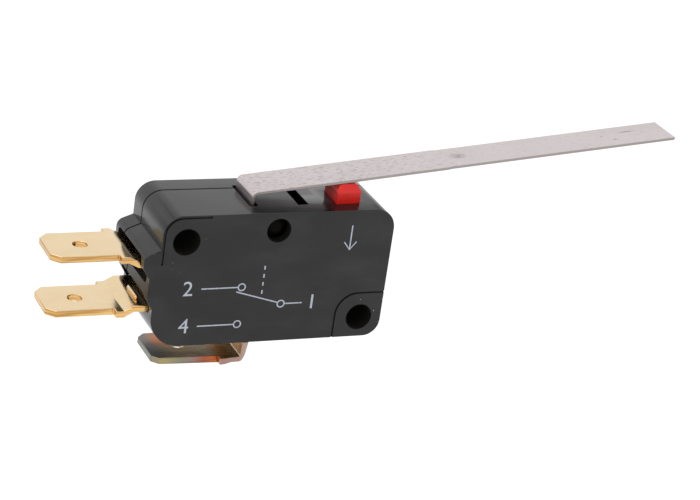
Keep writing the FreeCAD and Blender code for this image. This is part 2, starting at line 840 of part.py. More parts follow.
def drive_pivot():
    """Knife edge on which the drive blade turns, in the notch of the common terminal's tongue."""
    face = -size("com_leg") + HALF_BLADE
    return face - size("notch_depth") + size("pivot_gap"), DRIVE_PIVOT_HEIGHT


def drive_height(x):
    """Height of the drive blade's middle line at x, with the switch at rest."""
    pivot_x, pivot_z = drive_pivot()
    rise = ARM_HEIGHT + size("drive_hook_lift") - pivot_z
    run = -size("drive_hook") - pivot_x
    return pivot_z + (x - pivot_x) * rise / run


def drive_blade():
    """Forked blade under the plunger, pulled at its middle by the spring."""
    pivot_x, pivot_z = drive_pivot()
    half = size("drive_thickness") * 0.5
    heel = pivot_x + half
    tip = -size("drive_tip")
    side_view = [
        (pivot_x, pivot_z),
        (heel, drive_height(heel) - half),
        (tip, drive_height(tip) - half),
        (tip, drive_height(tip) + half),
        (heel, drive_height(heel) + half),
    ]
    side = size("tongue_half_width")
    strip = slab("drive_strip", "XZ", [side_view], -side, side)
    window_side = size("drive_window_half_width")
    window = box_points(pivot_x - BEYOND, -window_side, -size("drive_window_right"), window_side)
    hole_side = size("hook_hole_half_width")
    right = -size("drive_hook") + size("spring_wire") * 0.5 + size("hook_gap")
    left = right - size("hook_hole_length") - size("spring_stretch")
    hook_hole = box_points(left, -hole_side, right, hole_side)
    punch = slab("drive_punch", "XY", [window, hook_hole], pivot_z - BEYOND, drive_height(tip) + BEYOND)
    return cut("drive_blade", strip, punch)


def arm_pivot():
    """Knife edge on which the contact arm turns, in the notches of the frame's uprights."""
    upright = -size("frame_right") - size("blade_thickness")
    return upright + size("notch_depth") - size("pivot_gap"), ARM_HEIGHT


def contact_arm():
    """Forked arm that carries the moving contact, with ears that bear in the frame."""
    pivot_x, pivot_z = arm_pivot()
    half = HALF_ARM
    end = -size("arm_end")
    side_view = [
        (end, pivot_z - half),
        (pivot_x - half, pivot_z - half),
        (pivot_x, pivot_z),
        (pivot_x - half, pivot_z + half),
        (end, pivot_z + half),
    ]
    ear = size("arm_ear_half_width")
    strip = slab("arm_strip", "XZ", [side_view], -ear, ear)
    side = size("tongue_half_width")
    ear_left = pivot_x - size("arm_ear_length")
    half_plan = [(end, side), (ear_left, side), (ear_left, ear), (pivot_x, ear)]
    half_plan += [(pivot_x, size("arm_inner")), (-size("arm_window_left"), size("arm_inner"))]
    plan_points = half_plan + [(x, -y) for x, y in reversed(half_plan)]
    plan = slab("arm_plan", "XY", [plan_points], pivot_z - BEYOND, pivot_z + BEYOND)
    blank = combine("MultiCommon", "arm_blank", [strip, plan])
    hole_side = size("hook_hole_half_width")
    reach = size("hook_hole_length") * 0.5
    place = -size("arm_hook_hole")
    hook_hole = box_points(place - reach, -hole_side, place + reach, hole_side)
    rivet_hole = ((-size("contact_place"), ZERO), size("contact_shank"))
    punch = slab("arm_punch", "XY", [hook_hole, rivet_hole], pivot_z - BEYOND, pivot_z + BEYOND)
    return cut("contact_arm", blank, punch)


def hook_ends():
    """Where the spring's two hooks pass through the arm and the drive blade, on its axis."""
    wire = size("spring_wire")
    gap = size("hook_gap")
    arm_x = -size("arm_hook_hole") + size("hook_hole_length") * 0.5 - wire * 0.5 - gap
    arm_z = ARM_HEIGHT + HALF_ARM + wire * 0.5 + gap
    drive_x = -size("drive_hook")
    drive_z = drive_height(drive_x) + size("drive_thickness") * 0.5 + wire * 0.5 + gap
    return (arm_x, arm_z), (drive_x, drive_z)


def wire_run(half, axis, low, high, level=0.0):
    """Straight stretch of the spring's wire along x or z, squared like the coil's wire."""
    if axis == "x":
        return Part.makeBox(high - low, half * 2, half * 2, FreeCAD.Vector(low, -half, level - half))
    return Part.makeBox(half * 2, half * 2, high - low, FreeCAD.Vector(-half, -half, low))


def snap_spring():
    """Stretched coil spring with a straight hook at each end, its wire kept four-sided."""
    (arm_x, arm_z), (drive_x, drive_z) = hook_ends()
    run = drive_x.value - arm_x.value
    rise = drive_z.value - arm_z.value
    length = math.hypot(run, rise)
    half = size("spring_wire").value / 2.0
    radius = size("spring_radius").value
    pitch = size("spring_pitch").value
    coil = pitch * int(size("spring_turns").value)
    start = (length - coil) / 2.0
    end = start + coil
    corners = [(-half, -half), (half, -half), (half, half), (-half, half), (-half, -half)]
    section = Part.makePolygon([FreeCAD.Vector(radius + x, 0, z) for x, z in corners])
    turns = Part.Wire(Part.makeHelix(pitch, coil, radius)).makePipeShell([section], True, True)
    turns.translate(FreeCAD.Vector(0, 0, start))
    pieces = [wire_run(half, "z", -half, start + half), wire_run(half, "z", end - half, length + half)]
    for level in (start, end):
        pieces.append(wire_run(half, "x", -half, radius + half, level))
    for level in (0.0, length):
        pieces.append(wire_run(half, "x", -half, size("hook_length").value, level))
    made = doc.addObject("Part::Feature", "snap_spring")
    made.Shape = turns.multiFuse(pieces)
    angle = 90.0 - math.degrees(math.atan2(rise, run))
    turn = FreeCAD.Rotation(FreeCAD.Vector(0, 1, 0), angle)
    made.Placement = FreeCAD.Placement(FreeCAD.Vector(arm_x.value, 0, arm_z.value), turn)
    return made


def contact_head(name, base, edge, crown, upwards):
    """Domed rivet head: a disc cut by a ball that meets its rim at the edge height."""
    disc = doc.addObject("Part::Cylinder", f"{name}_disc")
    radius = size("contact_radius")
    bind(disc, "Radius", radius)
    bind(disc, "Height", crown)
    bind(disc, ".Placement.Base.x", -size("contact_place"))
    bind(disc, ".Placement.Base.z", base if upwards else base - crown)
    rise = crown - edge
    ball_radius = (radius * radius + rise * rise) / (rise * 2.0)
    ball = doc.addObject("Part::Sphere", f"{name}_ball")
    bind(ball, "Radius", ball_radius)
    bind(ball, ".Placement.Base.x", -size("contact_place"))
    bind(ball, ".Placement.Base.z", base + crown - ball_radius if upwards else base - crown + ball_radius)
    return combine("MultiCommon", f"{name}_head", [disc, ball])


def shank(name, low, high, radius):
    made = doc.addObject("Part::Cylinder", f"{name}_shank")
    bind(made, "Radius", radius)
    bind(made, "Height", high - low)
    bind(made, ".Placement.Base.x", -size("contact_place"))
    bind(made, ".Placement.Base.z", low)
    return made


def fixed_contact(name, plate_height, upwards):
    """Silver rivet through a terminal's inner plate, headed towards the moving contact."""
    crown = size("contact_crown")
    edge = size("contact_edge")
    upset = size("contact_upset")
    top = plate_height + HALF_BLADE
    bottom = plate_height - HALF_BLADE
    face = top if upwards else bottom
    head = contact_head(name, face, edge, crown, upwards)
    stem = shank(name, bottom, top, size("contact_shank"))
    wide = size("contact_shank") + size("contact_upset_reach")
    low, high = (bottom - upset, bottom) if upwards else (top, top + upset)
    back = shank(f"{name}_back", low, high, wide)
    return combine("MultiFuse", name, [head, stem, back])


def moving_contact():
    """Double-headed silver rivet of the contact arm."""
    top = ARM_HEIGHT + HALF_ARM
    bottom = ARM_HEIGHT - HALF_ARM
    crown = size("moving_crown")
    edge = crown - (size("contact_crown") - size("contact_edge"))
    upper = contact_head("moving_upper", top, edge, crown, True)
    lower = contact_head("moving_lower", bottom, edge, crown, False)
    stem = shank("moving", bottom, top, size("contact_shank"))
    return combine("MultiFuse", "moving_contact", [upper, lower, stem])


def check_document():
    for thing in doc.Objects:
        bad = [state for state in thing.State if state in ("Invalid", "Error")]
        if bad:
            raise ValueError(f"{thing.Label} is {bad[0]}")


def export(pieces):
    os.makedirs("parts", exist_ok=True)
    for piece in pieces:
        shape = piece.Shape
        if shape.isNull() or not shape.isValid() or not shape.Solids:
            raise ValueError(f"{piece.Label} has no valid solid")
        print(f"{piece.Label}: {len(shape.Solids)} solid, {shape.Volume:.2f} mm3")
        shape.exportStep(f"parts/{piece.Label}.step")


PIECES = [
    front_case(),
    rear_cover(),
    hinge_lever(),
    plunger(),
    end_terminal("nc_terminal", NC_TAB, NC_ENTRY),
    end_terminal("no_terminal", NO_TAB, NO_ENTRY),
    com_terminal(),
    fixed_contact("nc_contact", NC_ENTRY, False),
    fixed_contact("no_contact", NO_ENTRY, True),
    drive_blade(),
    contact_arm(),
    moving_contact(),
    snap_spring(),
]
doc.recompute()
check_document()
export(PIECES)
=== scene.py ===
import json
import logging
import math
from collections.abc import Iterator
from contextlib import contextmanager
from dataclasses import dataclass
from enum import Enum

import bmesh
import bpy
from mathutils import Matrix, Vector


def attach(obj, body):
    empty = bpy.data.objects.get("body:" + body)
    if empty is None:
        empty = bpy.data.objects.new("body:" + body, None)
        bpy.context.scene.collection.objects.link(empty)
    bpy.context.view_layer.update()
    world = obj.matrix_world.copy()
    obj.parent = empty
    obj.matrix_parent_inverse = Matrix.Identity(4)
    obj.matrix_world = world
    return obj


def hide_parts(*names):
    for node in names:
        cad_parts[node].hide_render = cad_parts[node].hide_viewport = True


# Looks of a miniature snap-action switch: finishes, eased metal edges, printed marks,
# the round wire of its spring, and the studio. Lengths are written in millimetres.

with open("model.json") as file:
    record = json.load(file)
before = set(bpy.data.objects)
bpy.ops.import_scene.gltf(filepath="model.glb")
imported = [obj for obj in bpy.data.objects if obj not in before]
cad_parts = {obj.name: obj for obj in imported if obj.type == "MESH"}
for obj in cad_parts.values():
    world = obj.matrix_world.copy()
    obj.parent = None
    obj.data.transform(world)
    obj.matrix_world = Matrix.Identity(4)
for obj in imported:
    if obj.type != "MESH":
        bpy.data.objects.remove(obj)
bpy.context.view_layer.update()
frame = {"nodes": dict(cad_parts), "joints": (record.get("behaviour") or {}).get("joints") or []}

MM = 0.001
log = logging.getLogger("switch")

Colour = tuple[float, float, float, float]
Point = tuple[float, float]
Place = tuple[float, float, float]
# An ellipsoid's middle and half axes, and a colour with its place in a row.
Region = tuple[Place, Place]
Stop = tuple[float, str]
Tree = bpy.types.NodeTree
Socket = bpy.types.NodeSocket
Piece = bpy.types.Object


class Body(Enum):
    """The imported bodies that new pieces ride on."""

    HOUSING = "housing"
    LEVER = "lever"
    PLUNGER = "plunger"
    SPRING = "spring"


class Slot(Enum):
    """The record's material slots, one named for each new piece."""

    CASE = "case_plastic"
    LEVER = "lever_steel"
    PLUNGER = "plunger_red"
    TAB = "tab_brass"
    COMMON = "com_brass"
    WIRE = "spring_steel"


class Join(Enum):
    """How several masks become one: full where all of them are, or where any is."""

    ALL = "MULTIPLY"
    ANY = "MAXIMUM"


def linear(hex_code: str) -> Colour:
    """Turn an sRGB hex value into a linear colour with full alpha.

    Args:
        hex_code: The sRGB value.

    Returns:
        Red, green, blue and alpha.
    """
    shares = [int(hex_code[index:index + 2], 16) / 255 for index in (1, 3, 5)]
    red, green, blue = [s / 12.92 if s <= 0.04045 else ((s + 0.055) / 1.055) ** 2.4 for s in shares]
    return red, green, blue, 1.0


def add_node(tree: Tree, kind: str, inputs: dict | None = None, **settings) -> bpy.types.Node:
    """Add one node with its settings, input values and links.

    Args:
        tree: The node tree that gets the node.
        kind: The node's type name.
        inputs: Values by socket name or index; a socket is linked, a hex code becomes a colour.
        settings: The node's own properties.

    Returns:
        The new node.
    """
    node = tree.nodes.new(kind)
    for name, value in settings.items():
        setattr(node, name, value)
    for key, value in (inputs or {}).items():
        if isinstance(value, Socket):
            tree.links.new(value, node.inputs[key])
        else:
            node.inputs[key].default_value = linear(value) if isinstance(value, str) else value
    return node


def joined(tree: Tree, how: Join, *masks: Socket) -> Socket:
    """Join masks into one.

    Args:
        tree: The node tree that gets the nodes.
        how: Whether all masks or any of them must be full.
        masks: The masks' sockets.

    Returns:
        The joined mask's socket.
    """
    result = masks[0]
    for mask in masks[1:]:
        result = add_node(tree, "ShaderNodeMath", {0: result, 1: mask}, operation=how.value).outputs[0]
    return result


def layered(tree: Tree, ground: Socket | str, *layers: tuple[Socket, Socket | str]) -> Socket:
    """Lay colours over a ground, one after the other.

    Args:
        tree: The node tree that gets the nodes.
        ground: The lowest colour, a socket or a hex code.
        layers: Each layer's mask and its colour.

    Returns:
        The finished colour's socket.
    """
    for mask, colour in layers:
        laid = add_node(tree, "ShaderNodeMix", {0: mask, 6: ground, 7: colour}, data_type="RGBA")
        ground = laid.outputs[2]
    return ground


def facing(tree: Tree, axis: str, start: float, full: float, either_way: bool = False) -> Socket:
    """A mask of where the surface faces along an axis of the object.

    Args:
        tree: The node tree that gets the nodes.
        axis: The axis's letter.
        start: The normal's share of that axis where the mask is empty.
        full: The share where it is full.
        either_way: Whether the axis's two directions count alike.

    Returns:
        The mask's socket.
    """
    normal = add_node(tree, "ShaderNodeTexCoord").outputs["Normal"]
    share = add_node(tree, "ShaderNodeSeparateXYZ", {"Vector": normal}).outputs[axis]
    if either_way:
        share = add_node(tree, "ShaderNodeMath", {0: share}, operation="ABSOLUTE").outputs[0]
    return add_node(tree, "ShaderNodeMapRange", {0: share, 1: start, 2: full}).outputs[0]


def inside(tree: Tree, place: Socket, soft: float, *regions: Region) -> Socket:
    """A mask that is full inside any of some ellipsoids.

    Args:
        tree: The node tree that gets the nodes.
        place: The object coordinates.
        soft: Share of the half axes over which an edge fades, to either side of it.
        regions: The ellipsoids, in millimetres.

    Returns:
        The mask's socket.
    """
    masks = []
    for centre, reach in regions:
        away = add_node(tree, "ShaderNodeVectorMath", {0: place, 1: [c * MM for c in centre]},
                        operation="SUBTRACT").outputs["Vector"]
        unit = add_node(tree, "ShaderNodeVectorMath", {0: away, 1: [1.0 / (r * MM) for r in reach]},
                        operation="MULTIPLY").outputs["Vector"]
        length = add_node(tree, "ShaderNodeVectorMath", {0: unit}, operation="LENGTH").outputs["Value"]
        edge = add_node(tree, "ShaderNodeMapRange", {0: length, 1: 1.0 + soft, 2: 1.0 - soft})
        masks.append(edge.outputs[0])
    return joined(tree, Join.ANY, *masks)


def cleared(owner: bpy.types.Material | bpy.types.World) -> Tree:
    """Give a material or world an empty node tree.

    Args:
        owner: The material or world.

    Returns:
        Its tree.
    """
    owner.use_nodes = True
    owner.node_tree.nodes.clear()
    return owner.node_tree


@dataclass(frozen=True)
class Pattern:
    """Noise by its real size: features about grain millimetres wide, longer by stretch on each axis.

    As a mask it runs from start to end while the noise goes from low to high. As a relief it is
    depth millimetres high.
    """

    grain: float
    low: float = 0.0
    high: float = 1.0
    start: float = 0.0
    end: float = 1.0
    stretch: Place = (1.0, 1.0, 1.0)
    detail: float = 2.0
    depth: float = 0.0
    strength: float = 1.0

    def field(self, tree: Tree, place: Socket) -> Socket:
        """The bare noise at a place.

        Args:
            tree: The node tree that gets the nodes.
            place: The object coordinates.

        Returns:
            The noise's socket.
        """
        scale = [1.0 / (self.grain * MM * share) for share in self.stretch]
        mapped = add_node(tree, "ShaderNodeMapping", {"Vector": place, "Scale": scale}).outputs["Vector"]
        inputs = {"Vector": mapped, "Scale": 1.0, "Detail": self.detail}
        return add_node(tree, "ShaderNodeTexNoise", inputs).outputs["Fac"]

    def mask(self, tree: Tree, place: Socket, about: float = 0.0) -> Socket:
        """The noise between its levels, with its start and end counted from a middle value."""
        inputs = {0: self.field(tree, place), 1: self.low, 2: self.high,
                  3: about + self.start, 4: about + self.end}
        return add_node(tree, "ShaderNodeMapRange", inputs).outputs[0]

    def relief(self, tree: Tree, place: Socket) -> Socket:
        """The surface's normal with the noise raised on it."""
        inputs = {"Height": self.field(tree, place), "Distance": self.depth * MM, "Strength": self.strength}
        return add_node(tree, "ShaderNodeBump", inputs).outputs["Normal"]


@dataclass(frozen=True)
class Finish:
    """What every finish shares: its name, main colour, gloss, how metallic it is and its IOR."""

    name: str
    colour: str
    roughness: float
    metallic: float = 0.0
    ior: float = 1.5

    def material(self) -> bpy.types.Material:
        """Build the material from one shader and the finish's own pattern.

        Returns:
            The new material.
        """
        material = bpy.data.materials.new(self.name)
        tree = cleared(material)
        place = add_node(tree, "ShaderNodeTexCoord").outputs["Object"]
        look = {"Base Color": self.colour, "Roughness": self.roughness, "Metallic": self.metallic,
                "IOR": self.ior, **self.dress(tree, place)}
        shader = add_node(tree, "ShaderNodeBsdfPrincipled", look)
        add_node(tree, "ShaderNodeOutputMaterial", {"Surface": shader.outputs["BSDF"]})
        return material

    def dress(self, tree: Tree, place: Socket) -> dict[str, Socket]:
        """The pattern, by the shader's inputs; a plain finish is only a tenth uneven in its gloss.

        Args:
            tree: The node tree that gets the nodes.
            place: The object coordinates.

        Returns:
            The pattern's sockets by the shader's inputs.
        """
        change = self.roughness * 0.1
        uneven = Pattern(grain=0.8, low=0.3, high=0.7, start=-change, end=change)
        return {"Roughness": uneven.mask(tree, place, self.roughness)}


@dataclass(frozen=True)
class MouldedPhenolic(Finish):
    """Black phenolic moulding: spark-eroded matt on the printed face, polished elsewhere, rough inside and
    with painted shade in its bores, pockets and parting line.
    """

    face_turn: Point = (-0.75, -0.95)
    face_roughness: float = 0.5
    # The eroded grain is finer than this, and is drawn as coarse as it needs to be to show.
    grain: Pattern = Pattern(grain=0.12, detail=3.0, depth=0.004, strength=0.5)
    bloom: str = "#3b3b3d"
    rubbed: Pattern = Pattern(grain=4.0, low=0.42, high=0.75, end=0.35, stretch=(1.6, 1.0, 0.8), detail=3.0)
    crisp: float = 0.01
    bores: tuple[Region, ...] = (
        ((0.0, 0.0, 0.0), (1.6, 1000.0, 1.6)), ((-22.2, 0.0, 10.3), (1.6, 1000.0, 1.6)),
        ((-11.4, 0.0, 11.3), (1.45, 1000.0, 1.45)),
    )
    not_rear: Point = (0.95, 0.9)
    # Painted shade in the bores, pockets and parting groove: a darker colour, a rough finish and a low
    # specular level.
    painted_shade_colour: str = "#12110d"
    bore_roughness: float = 0.9
    plain_sheen: float = 0.5
    painted_shade_sheen: float = 0.15
    pockets: tuple[Region, ...] = (((-26.1, -0.4, 4.3), (1.3, 4.9, 3.0)),)
    pocket_shade_share: float = 0.35
    seam: Region = ((0.0, 2.25, 0.0), (1000.0, 0.135, 1000.0))
    seam_edge: float = 0.11
    # Pale specks on the face near the holes.
    speck_colour: str = "#bdbdc0"
    speck_places: tuple[Region, ...] = (
        ((-22.6, 0.0, 9.6), (3.3, 1000.0, 3.0)), ((1.0, 0.0, 0.0), (2.5, 1000.0, 3.0)),
    )
    speck_spacing: float = 0.9
    speck_size: float = 0.07
    speck_core: float = 0.6
    specks_left_out: float = 0.72

    def pale_specks(self, tree: Tree, place: Socket, on_face: Socket) -> Socket:
        """A few pale specks on the face near the holes, drawn large enough to show.

        Args:
            tree: The node tree that gets the nodes.
            place: The object coordinates.
            on_face: The printed face's mask.

        Returns:
            The specks' mask.
        """
        parts = add_node(tree, "ShaderNodeSeparateXYZ", {"Vector": place}).outputs
        face = add_node(tree, "ShaderNodeCombineXYZ", {"X": parts["X"], "Y": parts["Z"]}).outputs["Vector"]
        inputs = {"Vector": face, "Scale": 1.0 / (self.speck_spacing * MM)}
        speck = add_node(tree, "ShaderNodeTexVoronoi", inputs, voronoi_dimensions="2D").outputs
        size = self.speck_size / self.speck_spacing
        near = add_node(tree, "ShaderNodeMapRange", {0: speck["Distance"], 1: size, 2: size * self.speck_core})
        pick = add_node(tree, "ShaderNodeSeparateXYZ", {"Vector": speck["Color"]}).outputs["X"]
        kept = add_node(tree, "ShaderNodeMapRange", {0: pick, 1: self.specks_left_out})
        spots = inside(tree, place, self.crisp, *self.speck_places)
        return joined(tree, Join.ALL, near.outputs[0], kept.outputs[0], on_face, spots)

    def dress(self, tree: Tree, place: Socket) -> dict[str, Socket]:
        """Matt grain and rubbed patches on the face, pale specks, and painted shade in the bores, pockets and
        parting line.

        Args:
            tree: The node tree that gets the nodes.
            place: The object coordinates.

        Returns:
            The pattern's sockets by the shader's inputs.
        """
        on_face = facing(tree, "Y", *self.face_turn)
        # Painted shade: the bores, the pockets and the parting groove are darkened and roughened, and lose
        # most of their specular reflection.
        bore_shade = joined(tree, Join.ALL, inside(tree, place, self.crisp, *self.bores),
                       facing(tree, "Y", *self.not_rear))
        black = joined(tree, Join.ANY, bore_shade, inside(tree, place, self.seam_edge, self.seam))
        pockets = inside(tree, place, self.crisp, *self.pockets)
        pocket_shade = add_node(tree, "ShaderNodeMapRange", {0: pockets, 4: self.pocket_shade_share}).outputs[0]
        painted_shade = joined(tree, Join.ANY, black, pocket_shade)
        gloss = add_node(tree, "ShaderNodeMapRange",
                         {0: on_face, 3: self.roughness, 4: self.face_roughness}).outputs[0]
        rough = add_node(tree, "ShaderNodeMix", {0: painted_shade, 2: gloss, 3: self.bore_roughness},
                         data_type="FLOAT")
        sheen = add_node(tree, "ShaderNodeMapRange", {0: black, 3: self.plain_sheen, 4: self.painted_shade_sheen})
        colour = layered(tree, self.colour, (self.rubbed.mask(tree, place), self.bloom),
                         (self.pale_specks(tree, place, on_face), self.speck_colour), (painted_shade, self.painted_shade_colour))
        return {"Base Color": colour, "Roughness": rough.outputs[0], "Specular IOR Level": sheen.outputs[0],
                "Normal": self.grain.relief(tree, place)}


@dataclass(frozen=True)
class RolledStainless(Finish):
    """Stainless strip, barrel-finished: short fine scratches lie mostly along the strip."""

    # The scratches are finer than this, and are drawn as wide as they need to be to show.
    hair: str = "#9c9392"
    hairs: Pattern = Pattern(grain=0.09, low=0.5, high=0.66, stretch=(9.0, 1.0, 1.0),
                             depth=0.003, strength=0.2)
    breaks: Pattern = Pattern(grain=0.35, low=0.36, high=0.6, stretch=(2.0, 1.0, 1.0))
    smooth_reach: Point = (2.0, 16.0)
    smooth_share: float = 0.35
    hair_roughness: float = 0.1
    cloud: str = "#c2b9b8"
    clouds: Pattern = Pattern(grain=4.0, low=0.4, high=0.7, end=0.4, stretch=(2.5, 1.0, 1.0))
    sheared: str = "#9d9593"
    edge_turn: Point = (0.5, 0.9)
    smudge: str = "#8a8281"
    worn: Pattern = Pattern(grain=0.35, low=0.3, high=0.6, start=0.4, stretch=(2.0, 1.0, 1.0))
    mark_edge: float = 0.5
    marks: tuple[Region, ...] = (
        ((12.2, 0.1, 15.9), (1.0, 0.7, 2.0)), ((31.2, 0.3, 19.1), (0.16, 0.14, 2.0)),
        ((32.4, -0.9, 19.3), (0.2, 0.14, 2.0)), ((34.9, 0.8, 19.6), (1.0, 0.13, 2.0)),
    )

    def dress(self, tree: Tree, place: Socket) -> dict[str, Socket]:
        """Fine scratches that fade towards a smoother tip, darker sheared edges and a few handling marks.

        Args:
            tree: The node tree that gets the nodes.
            place: The object coordinates.

        Returns:
            The pattern's sockets by the shader's inputs.
        """
        along = add_node(tree, "ShaderNodeSeparateXYZ", {"Vector": place}).outputs["X"]
        start, end = self.smooth_reach
        fading = {0: along, 1: start * MM, 2: end * MM, 3: 1.0, 4: self.smooth_share}
        fade = add_node(tree, "ShaderNodeMapRange", fading).outputs[0]
        shown = joined(tree, Join.ALL, self.hairs.mask(tree, place), self.breaks.mask(tree, place), fade)
        rough = {0: shown, 3: self.roughness, 4: self.roughness + self.hair_roughness}
        worn = self.worn.mask(tree, place)
        marks = [(joined(tree, Join.ALL, inside(tree, place, self.mark_edge, mark), worn), self.smudge)
                 for mark in self.marks]
        flank = facing(tree, "Y", *self.edge_turn, either_way=True)
        return {
            "Base Color": layered(tree, self.colour, (self.clouds.mask(tree, place), self.cloud),
                                  (shown, self.hair), *marks, (flank, self.sheared)),
            "Roughness": add_node(tree, "ShaderNodeMapRange", rough).outputs[0],
            "Normal": self.hairs.relief(tree, place),
        }


@dataclass(frozen=True)
class StampedBrass(Finish):
    """Half-hard brass strip: faint rolling lines on its faces, richer bare metal on its cut edges."""

    # Rolling lines and torn edges are finer than this, and are drawn as wide as they need to be to show.
    lines: Pattern = Pattern(grain=0.12, low=0.3, high=0.7, start=-0.05, end=0.06, stretch=(30.0, 1.0, 1.0),
                             detail=1.0, depth=0.0006, strength=0.12)
    stain: str = "#c99a63"
    clouds: Pattern = Pattern(grain=2.5, low=0.45, high=0.75, end=0.15, stretch=(1.5, 1.0, 1.0), detail=3.0)
    cut_edge: str = "#e2ba7c"
    edge_turn: Point = (0.75, 0.45)
    burnished: str = "#a8783c"
    torn: Pattern = Pattern(grain=0.22, low=0.45, high=0.62, end=0.75, stretch=(25.0, 25.0, 1.0), detail=1.0)

    def dress(self, tree: Tree, place: Socket) -> dict[str, Socket]:
        """Rolling lines along the strip, soft handling stains and the cut edge's own colour.

        Args:
            tree: The node tree that gets the nodes.
            place: The object coordinates.

        Returns:
            The pattern's sockets by the shader's inputs.
        """
        edge = facing(tree, "Z", *self.edge_turn, either_way=True)
        cut = layered(tree, self.cut_edge, (self.torn.mask(tree, place), self.burnished))
        colour = layered(tree, self.colour, (self.clouds.mask(tree, place), self.stain), (edge, cut))
        return {"Base Color": colour, "Roughness": self.lines.mask(tree, place, self.roughness),
                "Normal": self.lines.relief(tree, place)}


@dataclass(frozen=True)
class TintedBrass(Finish):
    """Brass strip that heat has coloured: olive and brown on its faces, orange near its bend."""

    reach: Point = (-24.0, -12.0)
    face_bands: tuple[Stop, ...] = (
        (0.0, "#747b74"), (0.12, "#857c74"), (0.3, "#c0a57c"), (0.55, "#cdbb98"), (0.72, "#d8965a"),
        (0.86, "#e0d0b0"),
    )
    edge_bands: tuple[Stop, ...] = (
        (0.0, "#8f8a76"), (0.12, "#a39468"), (0.3, "#87836f"), (0.42, "#8d7670"), (0.52, "#9c5a44"),
        (0.65, "#b5622f"), (0.67, "#9c7f77"), (0.85, "#a3867a"), (1.0, "#b9aca2"),
    )
    edge_turn: Point = (0.5, 0.8)
    wander: Pattern = Pattern(grain=2.2, low=0.3, high=0.7, start=-0.06, end=0.06, stretch=(1.0, 2.0, 1.0),
                              detail=3.0)
    violet: str = "#7a5a62"
    bloom: Pattern = Pattern(grain=1.6, low=0.5, high=0.72, end=0.35, stretch=(1.5, 1.0, 1.0))
    flame: str = "#c9702e"
    flame_place: Region = ((-21.0, 1.7, -4.9), (1.5, 1.7, 1.0))
    flame_edge: float = 0.5
    flicker: Pattern = Pattern(grain=2.2, low=0.3, high=0.5, stretch=(1.0, 2.0, 1.0), detail=3.0)
    lines: Pattern = Pattern(grain=0.12, low=0.3, high=0.7, start=-0.03, end=0.04, stretch=(30.0, 1.0, 1.0),
                             detail=1.0)

    def banded(self, tree: Tree, factor: Socket, stops: tuple[Stop, ...]) -> Socket:
        """Run a factor through a row of colours, each with the place where it is full.

        Args:
            tree: The node tree that gets the nodes.
            factor: Where along the row a point is.
            stops: The row's places and colours.

        Returns:
            The colour's socket.
        """
        row = add_node(tree, "ShaderNodeValToRGB", {"Fac": factor})
        elements = row.color_ramp.elements
        while len(elements) < len(stops):
            elements.new(0.5)
        for element, (position, colour) in zip(elements, stops):
            element.position = position
            element.color = linear(colour)
        return row.outputs["Color"]

    def dress(self, tree: Tree, place: Socket) -> dict[str, Socket]:
        """Colours that run along the strip, clouded, with violet in places, and paler cut edges.

        Args:
            tree: The node tree that gets the nodes.
            place: The object coordinates.

        Returns:
            The pattern's sockets by the shader's inputs.
        """
        x = add_node(tree, "ShaderNodeSeparateXYZ", {"Vector": place}).outputs["X"]
        start, end = self.reach
        along = add_node(tree, "ShaderNodeMapRange", {0: x, 1: start * MM, 2: end * MM}).outputs[0]
        wavy = add_node(tree, "ShaderNodeMath", {0: along, 1: self.wander.mask(tree, place)}, operation="ADD")
        flame = joined(tree, Join.ALL, inside(tree, place, self.flame_edge, self.flame_place),
                       self.flicker.mask(tree, place))
        edge = facing(tree, "Y", *self.edge_turn, either_way=True)
        colour = layered(tree, self.banded(tree, wavy.outputs[0], self.face_bands),
                         (self.bloom.mask(tree, place), self.violet), (flame, self.flame),
                         (edge, self.banded(tree, along, self.edge_bands)))
        return {"Base Color": colour, "Roughness": self.lines.mask(tree, place, self.roughness)}


@dataclass(frozen=True)
class RedThermoset(Finish):
    """Red moulded button: smooth faces with a soft sheen and faint flow marks."""

    deep: str = "#d0160e"
    clouds: Pattern = Pattern(grain=1.5, low=0.35, high=0.7, end=0.5)
    grain: Pattern = Pattern(grain=0.1, depth=0.002, strength=0.4)

    def dress(self, tree: Tree, place: Socket) -> dict[str, Socket]:
        """Slightly deeper red in slow clouds and a very fine mould grain."""
        return {"Base Color": layered(tree, self.colour, (self.clouds.mask(tree, place), self.deep)),
                "Normal": self.grain.relief(tree, place)}


@dataclass(frozen=True)
class PadInk(Finish):
    """Pad-printed two-part ink: pale, flat and a little patchy."""

    thin: str = "#9aa0ad"
    lifted: Pattern = Pattern(grain=0.35, low=0.45, high=0.75, end=0.6, detail=3.0)

    def dress(self, tree: Tree, place: Socket) -> dict[str, Socket]:
        """Thinner ink here and there, where the pad lifted unevenly."""
        return {"Base Color": layered(tree, self.colour, (self.lifted.mask(tree, place), self.thin))}


# Moulded mineral-filled phenolic: a deep grey-black that shines only where the mould was polished.
PHENOLIC = MouldedPhenolic("black_phenolic_moulding", "#0b0b0d", 0.18, ior=1.47)
# Rolled stainless spring strip, tumbled: a pale warm grey sheen broken by short scratches.
STAINLESS = RolledStainless("stainless_spring_strip", "#d1c8c8", 0.34, 1.0)
# Half-hard brass, bright rolled and blanked: pale gold faces that mirror softly, richer cut edges.
BRASS = StampedBrass("half_hard_brass_strip", "#ead2aa", 0.17, 1.0)
# The same strip after spot heating: thin oxide films turn it olive, orange and violet.
COMMON_BRASS = TintedBrass("heat_tinted_brass_strip", "#b79a6c", 0.28, 1.0)
# Red moulded thermoset: an opaque warm red with a soft sheen on its flat faces.
RED = RedThermoset("red_moulded_button", "#ea2015", 0.3, ior=1.46)
# Coined silver alloy rivets: a white metal, satin from the die.
SILVER = Finish("silver_alloy_rivet", "#dedcd6", 0.3, 1.0)
# Rolled phosphor bronze blades: reddish gold with faint rolling lines.
BRONZE = StampedBrass("phosphor_bronze_strip", "#c08f5e", 0.3, 1.0)
